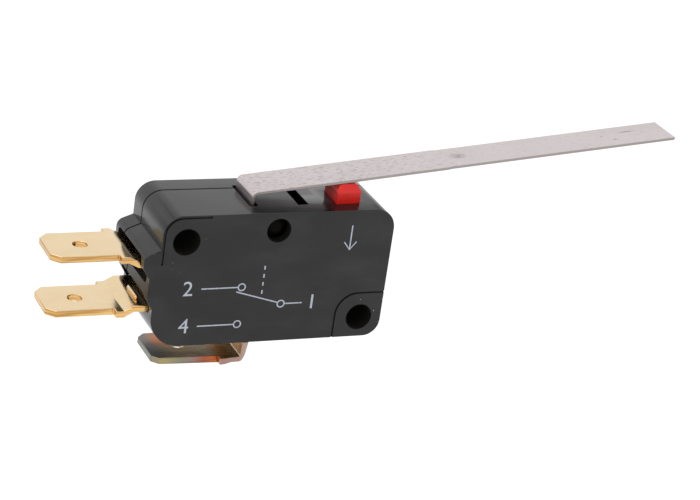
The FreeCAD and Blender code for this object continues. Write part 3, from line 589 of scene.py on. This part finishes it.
# Hard-drawn spring wire: a clean grey metal with narrow highlights.
WIRE = Finish("drawn_spring_wire", "#a9a7a6", 0.28, 1.0)
# Two-part pad ink: pale blue-grey and flat, thinner in places.
INK = PadInk("pad_print_ink", "#c9cedb", 0.55)


def settle(piece: Piece, body: Body, slot: Slot, *nodes: str) -> None:
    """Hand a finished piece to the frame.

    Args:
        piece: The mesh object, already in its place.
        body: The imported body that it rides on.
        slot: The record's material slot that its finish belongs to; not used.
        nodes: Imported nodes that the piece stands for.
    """
    if nodes:
        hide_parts(*nodes)
    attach(piece, body.value)
    log.info("%s rides on %s", piece.name, body.value)


def show(name: str, data: bpy.types.ID) -> Piece:
    """Put a mesh, curve, lamp or camera into the scene under a name.

    Args:
        name: The object's name.
        data: What it shows.

    Returns:
        The new object.
    """
    piece = bpy.data.objects.new(name, data)
    bpy.context.scene.collection.objects.link(piece)
    return piece


def worked_out(piece: Piece) -> bpy.types.Mesh:
    """Give a piece's mesh with its modifiers, curves or letters worked out."""
    bpy.context.view_layer.update()
    return bpy.data.meshes.new_from_object(piece.evaluated_get(bpy.context.evaluated_depsgraph_get()))


@contextmanager
def edited(mesh: bpy.types.Mesh) -> Iterator[bmesh.types.BMesh]:
    """Open a mesh for editing, and write it back at the end.

    Args:
        mesh: The mesh.

    Yields:
        The mesh as an editable shape.
    """
    shape = bmesh.new()
    shape.from_mesh(mesh)
    yield shape
    shape.to_mesh(mesh)
    shape.free()


def cut_across(piece: Piece, axis: int, places: tuple[float, ...]) -> None:
    """Divide a piece's faces across an axis at places in millimetres, so that it can bend there.

    Args:
        piece: The mesh object.
        axis: Number of the axis.
        places: Where the cuts lie on it.
    """
    normal = Vector((0.0, 0.0, 0.0))
    normal[axis] = 1.0
    with edited(piece.data) as shape:
        for place in places:
            parts = shape.verts[:] + shape.edges[:] + shape.faces[:]
            bmesh.ops.bisect_plane(shape, geom=parts, plane_co=normal * place * MM, plane_no=normal)


def held(value: float) -> float:
    """Hold a share between zero and one."""
    return min(max(value, 0.0), 1.0)


def smooth_share(value: float, start: float, end: float) -> float:
    """Rise smoothly from zero at start to one at end."""
    share = held((value - start) / (end - start))
    return share * share * (3.0 - 2.0 * share)


def eased_copy(node: str, name: str, radius: float, finish: bpy.types.Material,
               sharp_from: float = 40.0) -> Piece:
    """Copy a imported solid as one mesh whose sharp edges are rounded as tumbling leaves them.

    Args:
        node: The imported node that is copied.
        name: Name of the new piece.
        radius: Radius of the rounded edges in millimetres; none if it is zero.
        finish: The copy's material.
        sharp_from: Edges that turn by more degrees than this are sharp.

    Returns:
        The new piece, with its modifiers already applied.
    """
    doubles = 0.0002 * MM
    flat = math.radians(0.5)
    mesh = frame["nodes"][node].data.copy()
    with edited(mesh) as shape:
        bmesh.ops.remove_doubles(shape, verts=shape.verts, dist=doubles)
        bmesh.ops.dissolve_limit(shape, angle_limit=flat, verts=shape.verts, edges=shape.edges)
        for face in shape.faces:
            face.smooth = True
        for edge in shape.edges:
            edge.smooth = not (edge.is_manifold and edge.calc_face_angle() > math.radians(sharp_from))
    for attribute in [a for a in mesh.attributes if a.name == "custom_normal"]:
        mesh.attributes.remove(attribute)
    mesh.materials.clear()
    mesh.materials.append(finish)
    piece = show(name, mesh)
    if radius:
        easing = piece.modifiers.new("eased_edges", "BEVEL")
        easing.width = radius * MM
        easing.segments = 2
        easing.limit_method = "ANGLE"
        easing.angle_limit = math.radians(sharp_from)
        easing.harden_normals = True
        mesh = worked_out(piece)
        piece.modifiers.clear()
        piece.data = mesh
    return piece


class NodeGroup:
    """A Geometry Nodes tree with named inputs, built in the script and baked into plain meshes."""

    def __init__(self, name: str, inputs: dict[str, str]) -> None:
        """Start the tree.

        Args:
            name: The tree's name.
            inputs: Socket types by input name, after the geometry and before the material.
        """
        self.tree = bpy.data.node_groups.new(name, "GeometryNodeTree")
        face = self.tree.interface
        face.new_socket("Geometry", in_out="INPUT", socket_type="NodeSocketGeometry")
        face.new_socket("Geometry", in_out="OUTPUT", socket_type="NodeSocketGeometry")
        kinds = {**inputs, "Material": "NodeSocketMaterial"}
        self.keys = {label: face.new_socket(label, in_out="INPUT", socket_type=kind).identifier
                     for label, kind in kinds.items()}
        self.given = add_node(self.tree, "NodeGroupInput").outputs

    def tube(self, curve: Socket, radius: Socket, sides: int) -> Socket:
        """Sweep a round section along a curve.

        Args:
            curve: The curve's geometry.
            radius: The section's radius.
            sides: How many sides stand for its round.

        Returns:
            The tube with its ends closed.
        """
        section = add_node(self.tree, "GeometryNodeCurvePrimitiveCircle",
                           {"Resolution": sides, "Radius": radius})
        inputs = {"Curve": curve, "Profile Curve": section.outputs["Curve"], "Fill Caps": True}
        return add_node(self.tree, "GeometryNodeCurveToMesh", inputs).outputs["Mesh"]

    def finish(self, geometry: Socket) -> None:
        """End the tree in realised instances and the Material input.

        Args:
            geometry: The tree's last geometry.
        """
        real = add_node(self.tree, "GeometryNodeRealizeInstances", {"Geometry": geometry})
        dressed = add_node(self.tree, "GeometryNodeSetMaterial",
                           {"Geometry": real.outputs["Geometry"], "Material": self.given["Material"]})
        add_node(self.tree, "NodeGroupOutput", {"Geometry": dressed.outputs["Geometry"]})

    def apply(self, piece: Piece, values: dict) -> Piece:
        """Run the tree on a piece.

        Args:
            piece: A curve or mesh object, replaced by a mesh object of the same name.
            values: Input values by name.

        Returns:
            The mesh object with the result.
        """
        modifier = piece.modifiers.new("shape", "NODES")
        modifier.node_group = self.tree
        for label, value in values.items():
            modifier[self.keys[label]] = value
        mesh = worked_out(piece)
        name = piece.name
        bpy.data.objects.remove(piece)
        return show(name, mesh)


def ink_stroke_tree() -> NodeGroup:
    """A line of ink along a curve: a round section flattened onto the printed face.

    Returns:
        The tree.
    """
    group = NodeGroup("ink_stroke", {"Width": "NodeSocketFloat", "Lift": "NodeSocketFloat",
                                     "Face": "NodeSocketFloat"})
    tree, given = group.tree, group.given
    half = add_node(tree, "ShaderNodeMath", {0: given["Width"], 1: 0.5}, operation="MULTIPLY").outputs[0]
    line = group.tube(given["Geometry"], half, 8)
    place = add_node(tree, "GeometryNodeInputPosition").outputs[0]
    parts = add_node(tree, "ShaderNodeSeparateXYZ", {"Vector": place}).outputs
    out = add_node(tree, "ShaderNodeMath", {0: parts["Y"], 1: given["Face"]}, operation="SUBTRACT").outputs[0]
    share = add_node(tree, "ShaderNodeMath", {0: given["Lift"], 1: half}, operation="DIVIDE").outputs[0]
    pressed = add_node(tree, "ShaderNodeMath", {0: out, 1: share, 2: given["Face"]}, operation="MULTIPLY_ADD")
    moved = add_node(tree, "ShaderNodeCombineXYZ",
                     {"X": parts["X"], "Y": pressed.outputs[0], "Z": parts["Z"]})
    flat = add_node(tree, "GeometryNodeSetPosition",
                    {"Geometry": line, "Position": moved.outputs["Vector"]})
    group.finish(flat.outputs["Geometry"])
    return group


def dash_row_tree() -> NodeGroup:
    """A row of short ink dashes between the two ends of a straight mesh edge.

    Returns:
        The tree.
    """
    group = NodeGroup("dash_row", {"Count": "NodeSocketInt", "Size": "NodeSocketVector"})
    tree, given = group.tree, group.given
    line = add_node(tree, "GeometryNodeMeshToCurve", {"Mesh": given["Geometry"]})
    spots = add_node(tree, "GeometryNodeResampleCurve",
                     {"Curve": line.outputs["Curve"], "Count": given["Count"]})
    dash = add_node(tree, "GeometryNodeMeshCube", {"Size": given["Size"]})
    row = add_node(tree, "GeometryNodeInstanceOnPoints",
                   {"Points": spots.outputs["Curve"], "Instance": dash.outputs["Mesh"]})
    group.finish(row.outputs["Instances"])
    return group


def coil_tree() -> NodeGroup:
    """Round wire wound in a coil along +Z, added to the straight runs that the piece brings.

    Returns:
        The tree.
    """
    group = NodeGroup("wound_wire", {"Turns": "NodeSocketFloat", "Radius": "NodeSocketFloat",
                                     "Length": "NodeSocketFloat", "Start": "NodeSocketVector",
                                     "Wire": "NodeSocketFloat"})
    tree, given = group.tree, group.given
    coil = add_node(tree, "GeometryNodeCurveSpiral", {
        "Resolution": 24, "Rotations": given["Turns"], "Start Radius": given["Radius"],
        "End Radius": given["Radius"], "Height": given["Length"],
    })
    lifted = add_node(tree, "GeometryNodeTransform",
                      {"Geometry": coil.outputs["Curve"], "Translation": given["Start"]})
    runs = add_node(tree, "GeometryNodeJoinGeometry", {"Geometry": given["Geometry"]})
    tree.links.new(lifted.outputs["Geometry"], runs.inputs["Geometry"])
    group.finish(group.tube(runs.outputs["Geometry"], given["Wire"], 10))
    return group


def poly_curve(name: str, lines: list[list[Place]]) -> Piece:
    """Curve object with one straight-sided spline for each list of points, in millimetres.

    Args:
        name: The object's name.
        lines: The points of each spline.

    Returns:
        The curve object.
    """
    data = bpy.data.curves.new(name, "CURVE")
    data.dimensions = "3D"
    for line in lines:
        spline = data.splines.new("POLY")
        spline.points.add(len(line) - 1)
        for point, place in zip(spline.points, line):
            point.co = (place[0] * MM, place[1] * MM, place[2] * MM, 1.0)
    return show(name, data)


@dataclass
class Case:
    """The two phenolic halves, shaded smooth over their rounded rims and broken along their parting line."""

    turn: float = 32.0
    seam: float = 2.25
    seam_reach: float = 0.003
    seam_break: float = 0.09
    wall_turn: float = 0.5
    middle: Point = (-12.0, 5.45)
    bores: tuple[Point, ...] = ((0.0, 0.0), (-22.2, 10.3), (-11.4, 11.3))
    bore_clear: float = 2.2
    face: float = -5.15
    field_depth: float = 0.04
    groove_depth: float = 0.3
    groove_shown: float = 0.2
    level_reach: float = 0.004
    doubles: float = 0.001
    block_corner: Point = (-26.85, 8.7)
    block_slope: Point = (0.935, 0.354)
    block_round: float = 1.0
    block_cuts_z: Point = (8.01, 8.18)
    block_cuts_x: Point = (-26.37, -26.2)
    rim: float = 0.15

    def round_block(self, half: Piece) -> None:
        """Give the terminal block's upper corner the wide round of the real moulding.

        Args:
            half: The case half.
        """
        corner, slope = Vector(self.block_corner), Vector(self.block_slope)
        reach = math.sqrt((1.0 - slope.y) / (1.0 + slope.y))
        centre = corner + Vector((1.0, -reach)) * self.block_round
        cut_across(half, 2, self.block_cuts_z)
        cut_across(half, 0, self.block_cuts_x)
        for vert in half.data.vertices:
            out = Vector((vert.co.x, vert.co.z)) / MM - centre
            if out.y < 0.0 or out.dot(slope) > 0.0:
                continue
            deep = min(max(abs(vert.co.y / MM) - abs(self.face) + self.rim, 0.0), self.rim)
            radius = self.block_round - self.rim + math.sqrt(self.rim ** 2 - deep ** 2)
            if out.length > radius:
                moved = centre + out.normalized() * radius
                vert.co.x, vert.co.z = moved.x * MM, moved.y * MM

    def outside(self, edge: bmesh.types.BMEdge) -> bool:
        """Tell whether an edge lies in the parting plane on the outside of the case.

        Args:
            edge: An edge of a case half.

        Returns:
            Whether it does.
        """
        away = max(abs(vert.co.y / MM - self.seam) for vert in edge.verts)
        if not edge.is_manifold or away > self.seam_reach:
            return False
        centre = (edge.verts[0].co + edge.verts[1].co) / 2.0 / MM
        if any(math.hypot(centre.x - x, centre.z - z) < self.bore_clear for x, z in self.bores):
            return False
        walls = [face for face in edge.link_faces if abs(face.normal.y) < self.wall_turn]
        if len(walls) != 1:
            return False
        out = Vector((centre.x - self.middle[0], 0.0, centre.z - self.middle[1]))
        return walls[0].normal.dot(out) > 0.0

    def ease_face(self, half: Piece) -> None:
        """Bring the fields round the holes flush, as wear does, and soften their corner grooves.

        Args:
            half: The case half.
        """
        levels = ((self.field_depth, 0.0), (self.groove_depth, self.groove_shown))
        with edited(half.data) as shape:
            for vert in shape.verts:
                for packed, shown in levels:
                    if abs(vert.co.y / MM - (self.face + packed)) < self.level_reach:
                        vert.co.y = (self.face + shown) * MM
            bmesh.ops.remove_doubles(shape, verts=shape.verts, dist=self.doubles * MM)

    def break_edges(self, half: Piece) -> None:
        """Chamfer the parting edges, which leaves a fine groove where the halves meet.

        Args:
            half: The case half.
        """
        with edited(half.data) as shape:
            shape.normal_update()
            along = [edge for edge in shape.edges if self.outside(edge)]
            bmesh.ops.bevel(shape, geom=along, offset=self.seam_break * MM, segments=1, affect="EDGES",
                            clamp_overlap=True)
            log.info("%s has %d parting edges broken", half.name, len(along))

    def build(self) -> None:
        """Merge each half's triangles into one mesh, break its parting edges and dress it."""
        finish = PHENOLIC.material()
        for node in ("front_case", "rear_cover"):
            half = eased_copy(node, f"{node}_moulding", 0.0, finish, self.turn)
            if node == "front_case":
                self.ease_face(half)
            self.round_block(half)
            self.break_edges(half)
            settle(half, Body.HOUSING, Slot.CASE, node)


@dataclass
class Marks:
    """Printed marks: a changeover diagram, plain terminal numbers and a press arrow."""

    face: float = -5.15
    lift: float = 0.012
    line: float = 0.16
    number_size: float = 2.565
    left: float = -21.4
    level: float = 2.2
    gap: float = 2.3
    lead: float = 1.6
    throw: float = 6.4
    eye: float = 0.42
    eye_chords: int = 20
    pivot: float = -10.0
    blade_start: Point = (-0.378, 0.168)
    blade_tip: Point = (5.8, 1.75)
    tail: float = -7.4
    tail_number: float = 1.2
    arrow_tip: Point = (-2.45, 8.6)
    arrow_length: float = 3.0
    arrow_wing: Point = (0.75, 0.975)
    link_x: float = 8.9
    link_rise: Point = (1.6, 4.6)
    link_dashes: int = 4
    dash_height: float = 0.45

    def strokes(self) -> list[list[Point]]:
        """Every line of the diagram and the arrow, in the face's own x and z.

        Returns:
            The points of each line.
        """
        pivot = (self.pivot, self.level)
        contacts = [(self.left + self.throw, self.level + side) for side in (self.gap, -self.gap)]
        tip = (self.left + self.blade_tip[0], self.level + self.blade_tip[1])
        x, z = self.arrow_tip
        wing, rise = self.arrow_wing
        return [
            [(self.tail, self.level), (self.pivot + self.eye, self.level)],
            [(self.pivot + self.blade_start[0], self.level + self.blade_start[1]), tip],
            *[[(self.left + self.lead, height), (across - self.eye, height)] for across, height in contacts],
            *[self.ring(point) for point in (pivot, *contacts)],
            [(x, z + self.arrow_length), (x, z)],
            [(x - wing, z + rise), (x, z), (x + wing, z + rise)],
        ]

    def ring(self, centre: Point) -> list[Point]:
        """Closed ring of short chords round a contact point."""
        turn = math.tau / self.eye_chords
        return [(centre[0] + self.eye * math.cos(turn * step), centre[1] + self.eye * math.sin(turn * step))
                for step in range(self.eye_chords + 1)]

    def number(self, text: str, x: float, z: float, material: bpy.types.Material) -> Piece:
        """One plain number, flat on the face with its middle at x, z.

        Args:
            text: The figure.
            x: Its middle along the face.
            z: Its middle's height.
            material: The ink.

        Returns:
            The figure's mesh object.
        """
        letter = bpy.data.curves.new(f"number_{text}", "FONT")
        letter.body = text
        letter.size = self.number_size * MM
        letter.align_x = "CENTER"
        letter.align_y = "CENTER"
        letter.extrude = self.lift * MM / 2.0
        shown = show(f"number_{text}", letter)
        mesh = worked_out(shown)
        bpy.data.objects.remove(shown)
        place = Vector((x, self.face - self.lift / 2.0, z)) * MM
        mesh.transform(Matrix.Translation(place) @ Matrix.Rotation(math.pi / 2, 4, "X"))
        mesh.materials.clear()
        mesh.materials.append(material)
        return show(f"number_{text}", mesh)

    def dashes(self, material: bpy.types.Material) -> Piece:
        """The dashed link from the press arrow's side down to the changeover blade.

        Args:
            material: The ink.

        Returns:
            The dashes' mesh object.
        """
        line = bpy.data.meshes.new("link_line")
        x, y = self.left + self.link_x, self.face - self.lift / 2.0
        ends = [(x * MM, y * MM, (self.level + rise) * MM) for rise in self.link_rise]
        line.from_pydata(ends, [(0, 1)], [])
        size = (self.line * MM, self.lift * MM, self.dash_height * MM)
        values = {"Count": self.link_dashes, "Size": size, "Material": material}
        return dash_row_tree().apply(show("press_link_dashes", line), values)

    def build(self) -> None:
        """Print everything on the front face."""
        ink = INK.material()
        lines = [[(x, self.face, z) for x, z in line] for line in self.strokes()]
        values = {"Width": self.line * MM, "Lift": self.lift * MM, "Face": self.face * MM, "Material": ink}
        diagram = ink_stroke_tree().apply(poly_curve("changeover_diagram", lines), values)
        numbers = (("1", self.tail + self.tail_number, self.level), ("2", self.left, self.level + self.gap),
                   ("4", self.left, self.level - self.gap))
        for piece in (diagram, self.dashes(ink), *[self.number(*place, ink) for place in numbers]):
            settle(piece, Body.HOUSING, Slot.CASE)


@dataclass
class Terminals:
    """The three stamped tabs, their edges rounded by tumbling and their folds as bending left them."""

    edge: float = 0.1
    fold: float = 18.0
    base: float = -2.5
    base_inside: float = -1.9
    shift: float = 0.62
    lean: Point = (0.15, 0.42)
    leg_faces: Point = (-12.9, -12.1)
    lean_depth: float = 2.4
    bend: Point = (-15.8, -13.6)
    bend_cuts: tuple[float, ...] = (-15.8, -15.3, -14.8, -14.3, -13.9)
    heel: float = 0.25
    heel_height: float = 1.3
    heel_start: float = 0.52
    inner_bend: tuple[Point, float, float] = ((-12.9, -4.9), 0.9, 0.25)
    outer_bend: tuple[Point, float, float] = ((-12.1, -5.7), 1.3, 1.1)
    between_bends: float = 1.035
    shoulder_grow: float = 0.135
    shoulder_from: Point = (-16.2, -16.0)
    taper: Point = (-2.75, -3.0)
    leg_cuts: tuple[float, ...] = (-2.5, -1.9, -2.75, -3.0, -3.6)
    step_rise: Point = (-28.1, -26.1)
    step_end: float = -27.0
    lower_step: Point = (1.05, 0.62)
    upper_step: Point = (-0.55, -0.55)
    pocket_rise: Point = (-25.3, -24.7)
    step_cuts: tuple[float, ...] = (-27.0, -25.3, -24.7, -25.0)
    # A brass bead on the lower strip that stands in for the highlight on its fold in the pocket.
    bead_place: Place = (-26.3, -1.05, 2.5)
    bead_half: float = 1.2
    bead_radius: float = 0.32
    bead_sides: int = 24

    def tighter_bend(self, x: float, z: float) -> Point:
        """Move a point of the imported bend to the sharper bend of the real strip.

        Args:
            x: The point's x in millimetres.
            z: Its z.

        Returns:
            Its new x and z.
        """
        (corner_x, corner_z), packed, shown = self.inner_bend
        if math.hypot(x - (corner_x - packed), z - (corner_z + packed)) > self.between_bends:
            (corner_x, corner_z), packed, shown = self.outer_bend
        if x < corner_x - packed or z > corner_z + packed:
            return x, z
        share = shown / packed
        return corner_x - (corner_x - x) * share, corner_z + (z - corner_z) * share

    def lean_leg(self, piece: Piece) -> None:
        """Lean the common terminal's leg under the case and widen its shoulder.

        Args:
            piece: The common terminal's strip.
        """
        cut_across(piece, 2, self.leg_cuts)
        cut_across(piece, 0, self.bend_cuts)
        for vert in piece.data.vertices:
            x, y, z = vert.co / MM
            if z >= self.base_inside:
                continue
            x, z = self.tighter_bend(x, z)
            out = smooth_share(x, *self.bend) * smooth_share(z, self.base_inside, self.base)
            depth = self.base - z
            low = held((depth - self.lean_depth + self.heel_start) / self.heel_height)
            grow = smooth_share(z, *self.taper) * smooth_share(x, *self.shoulder_from) * self.shoulder_grow
            lean = self.lean[0] + (self.lean[1] - self.lean[0]) * smooth_share(x, *self.leg_faces)
            vert.co.x = (x - (self.shift + lean * held(depth / self.lean_depth)) * out) * MM
            vert.co.z = (z + self.heel * out * low) * MM
            vert.co.y += y * grow * MM

    def shorter_step(self, piece: Piece, packed: float, shown: float) -> None:
        """Give a tab the short step of the real one, level before it enters its pocket.

        Args:
            piece: The tab's strip.
            packed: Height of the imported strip's step in millimetres.
            shown: Height that is shown; the rest follows inside the wall of the block.
        """
        start, end = self.step_rise
        cut_across(piece, 0, self.step_cuts)
        for vert in piece.data.vertices:
            x = vert.co.x / MM
            if not start < x < self.pocket_rise[1]:
                continue
            before = packed * held((x - start) / (end - start))
            after = shown * held((x - start) / (self.step_end - start))
            after += (packed - shown) * smooth_share(x, *self.pocket_rise)
            vert.co.z += (after - before) * MM

    def highlight_bead(self, finish: bpy.types.Material) -> Piece:
        """A short rounded brass bead on the lower strip in its pocket. It stands in for the highlight on the
        strip's fold.

        Args:
            finish: The strip's material.

        Returns:
            The bead.
        """
        mesh = bpy.data.meshes.new("strip_highlight_bead")
        with edited(mesh) as shape:
            bmesh.ops.create_uvsphere(shape, u_segments=self.bead_sides, v_segments=self.bead_sides // 2,
                                      radius=self.bead_radius * MM)
            for vert in shape.verts:
                vert.co.z += math.copysign(self.bead_half * MM, vert.co.z)
            for face in shape.faces:
                face.smooth = True
            place = Matrix.Translation(Vector(self.bead_place) * MM)
            shape.transform(place @ Matrix.Rotation(math.pi / 2, 4, "X"))
        mesh.materials.append(finish)
        return show("strip_highlight_bead", mesh)

    def build(self) -> None:
        """Replace each terminal by a copy with eased edges."""
        brass = BRASS.material()
        for node, step in (("nc_terminal", self.upper_step), ("no_terminal", self.lower_step)):
            strip = eased_copy(node, f"{node}_strip", self.edge, brass, self.fold)
            self.shorter_step(strip, *step)
            settle(strip, Body.HOUSING, Slot.TAB, node)
        tinted = COMMON_BRASS.material()
        common = eased_copy("com_terminal", "com_terminal_strip", self.edge, tinted, self.fold)
        self.lean_leg(common)
        settle(common, Body.HOUSING, Slot.COMMON, "com_terminal")
        # The bead stands in for the highlight on the lower strip's fold.
        settle(self.highlight_bead(brass), Body.HOUSING, Slot.TAB)


@dataclass
class Lever:
    """The long stainless lever with its eased edges, a little narrower beyond the button."""

    edge: float = 0.05
    neck: Point = (9.7, 10.4)
    narrower: float = 0.045

    def build(self) -> None:
        """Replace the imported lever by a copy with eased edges, drawn in over the neck."""
        piece = eased_copy("hinge_lever", "lever_strip", self.edge, STAINLESS.material())
        cut_across(piece, 0, self.neck)
        for vert in piece.data.vertices:
            vert.co.y *= 1.0 - self.narrower * smooth_share(vert.co.x / MM, *self.neck)
        settle(piece, Body.LEVER, Slot.LEVER, "hinge_lever")


@dataclass
class Button:
    """The red plunger with the small rounds of its mould."""

    edge: float = 0.06
    turn: float = 12.0

    def build(self) -> None:
        """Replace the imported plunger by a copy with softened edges."""
        piece = eased_copy("plunger", "plunger_button", self.edge, RED.material(), self.turn)
        settle(piece, Body.PLUNGER, Slot.PLUNGER, "plunger")


@dataclass
class Mechanism:
    """Contacts, blades and the snap spring inside the case."""

    rivets: tuple[str, ...] = ("nc_contact", "no_contact", "moving_contact")
    blades: tuple[str, ...] = ("drive_blade", "contact_arm")
    turns: float = 13.0
    radius: float = 0.58
    wire: float = 0.15
    coil_length: float = 6.6
    hook: float = 0.7
    far_hook: Place = (-4.5, 0.0, 6.73)

    def dress(self) -> None:
        """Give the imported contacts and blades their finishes."""
        for nodes, finish in ((self.rivets, SILVER), (self.blades, BRONZE)):
            material = finish.material()
            for node in nodes:
                for slot in frame["nodes"][node].material_slots:
                    slot.material = material
                log.info("%s wears %s", node, material.name)

    def near_hook(self) -> Vector:
        """Where the spring hangs in the contact arm: its joint's place in the frame, in millimetres."""
        joint = next(j for j in frame["joints"] if j["name"] == "spring_hinge")
        return Vector((joint["pos_m"][0], 0.0, joint["pos_m"][2])) / MM

    def spring(self) -> None:
        """Wind the snap spring of round wire between its two hooks."""
        near, far = self.near_hook(), Vector(self.far_hook)
        length = (far - near).length
        start = (length - self.coil_length) / 2.0
        end = length - start
        runs = [
            [(self.hook, 0, 0), (0, 0, 0), (0, 0, start), (self.radius, 0, start)],
            [(self.radius, 0, end), (0, 0, end), (0, 0, length), (self.hook, 0, length)],
        ]
        values = {
            "Turns": self.turns, "Radius": self.radius * MM, "Length": self.coil_length * MM,
            "Start": (0.0, 0.0, start * MM), "Wire": self.wire * MM, "Material": WIRE.material(),
        }
        piece = coil_tree().apply(poly_curve("snap_spring_wire", runs), values)
        slope = math.atan2(far.z - near.z, far.x - near.x)
        piece.data.transform(Matrix.Translation(near * MM) @ Matrix.Rotation(math.pi / 2 - slope, 4, "Y"))
        for face in piece.data.polygons:
            face.use_smooth = True
        settle(piece, Body.SPRING, Slot.WIRE, "snap_spring")

    def build(self) -> None:
        """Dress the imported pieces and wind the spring."""
        self.dress()
        self.spring()


@dataclass(frozen=True)
class View:
    """The camera of the photograph: its place in millimetres, and its forward and upward directions."""

    place: Place = (-106.9, -216.8, 109.5)
    forward: Place = (0.407, 0.824, -0.393)
    up: Place = (0.038, 0.415, 0.909)
    lens: float = 116.5
    clip: Point = (0.01, 20.0)

    def build(self) -> None:
        """Create the camera and make it the scene's own."""
        data = bpy.data.cameras.new("camera")
        data.lens = self.lens
        data.clip_start, data.clip_end = self.clip
        forward = Vector(self.forward).normalized()
        right = forward.cross(Vector(self.up)).normalized()
        turn = Matrix((right, right.cross(forward), -forward)).transposed().to_4x4()
        camera = show("camera", data)
        camera.matrix_world = Matrix.Translation(Vector(self.place) * MM) @ turn
        bpy.context.scene.camera = camera


@dataclass
class Studio:
    """White floor and surround with soft lamps."""

    floor_level: float = -60.0
    floor_half: float = 2000.0
    paper: str = "#e7e7e7"
    floor_glow: float = 0.45
    world_strength: float = 0.6
    lamps: tuple[tuple[str, Place, float, float], ...] = (
        ("key", (-420.0, -180.0, 620.0), 800.0, 2.2),
        ("fill", (620.0, -420.0, 260.0), 700.0, 0.6),
    )
    aim: Place = (0.0, 0.0, 5.0)

    def level(self, tree: Tree, otherwise: float, seen: float) -> Socket:
        """One strength for rays from the camera, a mirror-like surface or glass, another for the rest.

        Args:
            tree: The node tree that gets the nodes.
            otherwise: Strength for the rest.
            seen: Strength for those rays.

        Returns:
            The strength's socket.
        """
        rays = add_node(tree, "ShaderNodeLightPath").outputs
        kinds = [rays[f"Is {kind} Ray"] for kind in ("Camera", "Glossy", "Transmission")]
        white = joined(tree, Join.ANY, *kinds)
        return add_node(tree, "ShaderNodeMapRange", {0: white, 3: otherwise, 4: seen}).outputs[0]

    def surround(self) -> None:
        """World light: plain white seen directly, a soft level on the object."""
        world = bpy.data.worlds.new("surround")
        bpy.context.scene.world = world
        tree = cleared(world)
        inputs = {"Color": "#ffffff", "Strength": self.level(tree, self.world_strength, 1.0)}
        light = add_node(tree, "ShaderNodeBackground", inputs)
        add_node(tree, "ShaderNodeOutputWorld", {"Surface": light.outputs["Background"]})

    def floor(self) -> None:
        """A wide white floor that shows plain white and still takes the object's shadow."""
        half = self.floor_half * MM
        corners = [(x, y, self.floor_level * MM) for x, y in
                   ((-half, -half), (half, -half), (half, half), (-half, half))]
        mesh = bpy.data.meshes.new("floor")
        mesh.from_pydata(corners, [], [(0, 1, 2, 3)])
        material = bpy.data.materials.new("white_paper_floor")
        tree = cleared(material)
        paper = add_node(tree, "ShaderNodeBsdfDiffuse", {"Color": self.paper})
        glow = add_node(tree, "ShaderNodeEmission", {"Strength": self.level(tree, 0.0, self.floor_glow)})
        both = add_node(tree, "ShaderNodeAddShader", {0: paper.outputs[0], 1: glow.outputs[0]})
        add_node(tree, "ShaderNodeOutputMaterial", {"Surface": both.outputs[0]})
        mesh.materials.append(material)
        show("floor", mesh)

    def lights(self) -> None:
        """Large square lamps that face the middle of the object."""
        aim = Vector(self.aim) * MM
        for name, place, side, power in self.lamps:
            data = bpy.data.lights.new(name, "AREA")
            data.size = side * MM
            data.energy = power
            stand = Vector(place) * MM
            turn = (aim - stand).to_track_quat("-Z", "Y").to_matrix().to_4x4()
            show(name, data).matrix_world = Matrix.Translation(stand) @ turn

    def build(self) -> None:
        """Light and close the scene."""
        bpy.context.scene.view_settings.view_transform = "Standard"
        self.surround()
        self.floor()
        self.lights()


def main() -> None:
    """Build the whole scene, piece by piece."""
    logging.basicConfig(level=logging.INFO)
    for part in (Case(), Marks(), Terminals(), Lever(), Button(), Mechanism(), View(), Studio()):
        part.build()


if __name__ == "__main__":
    main()
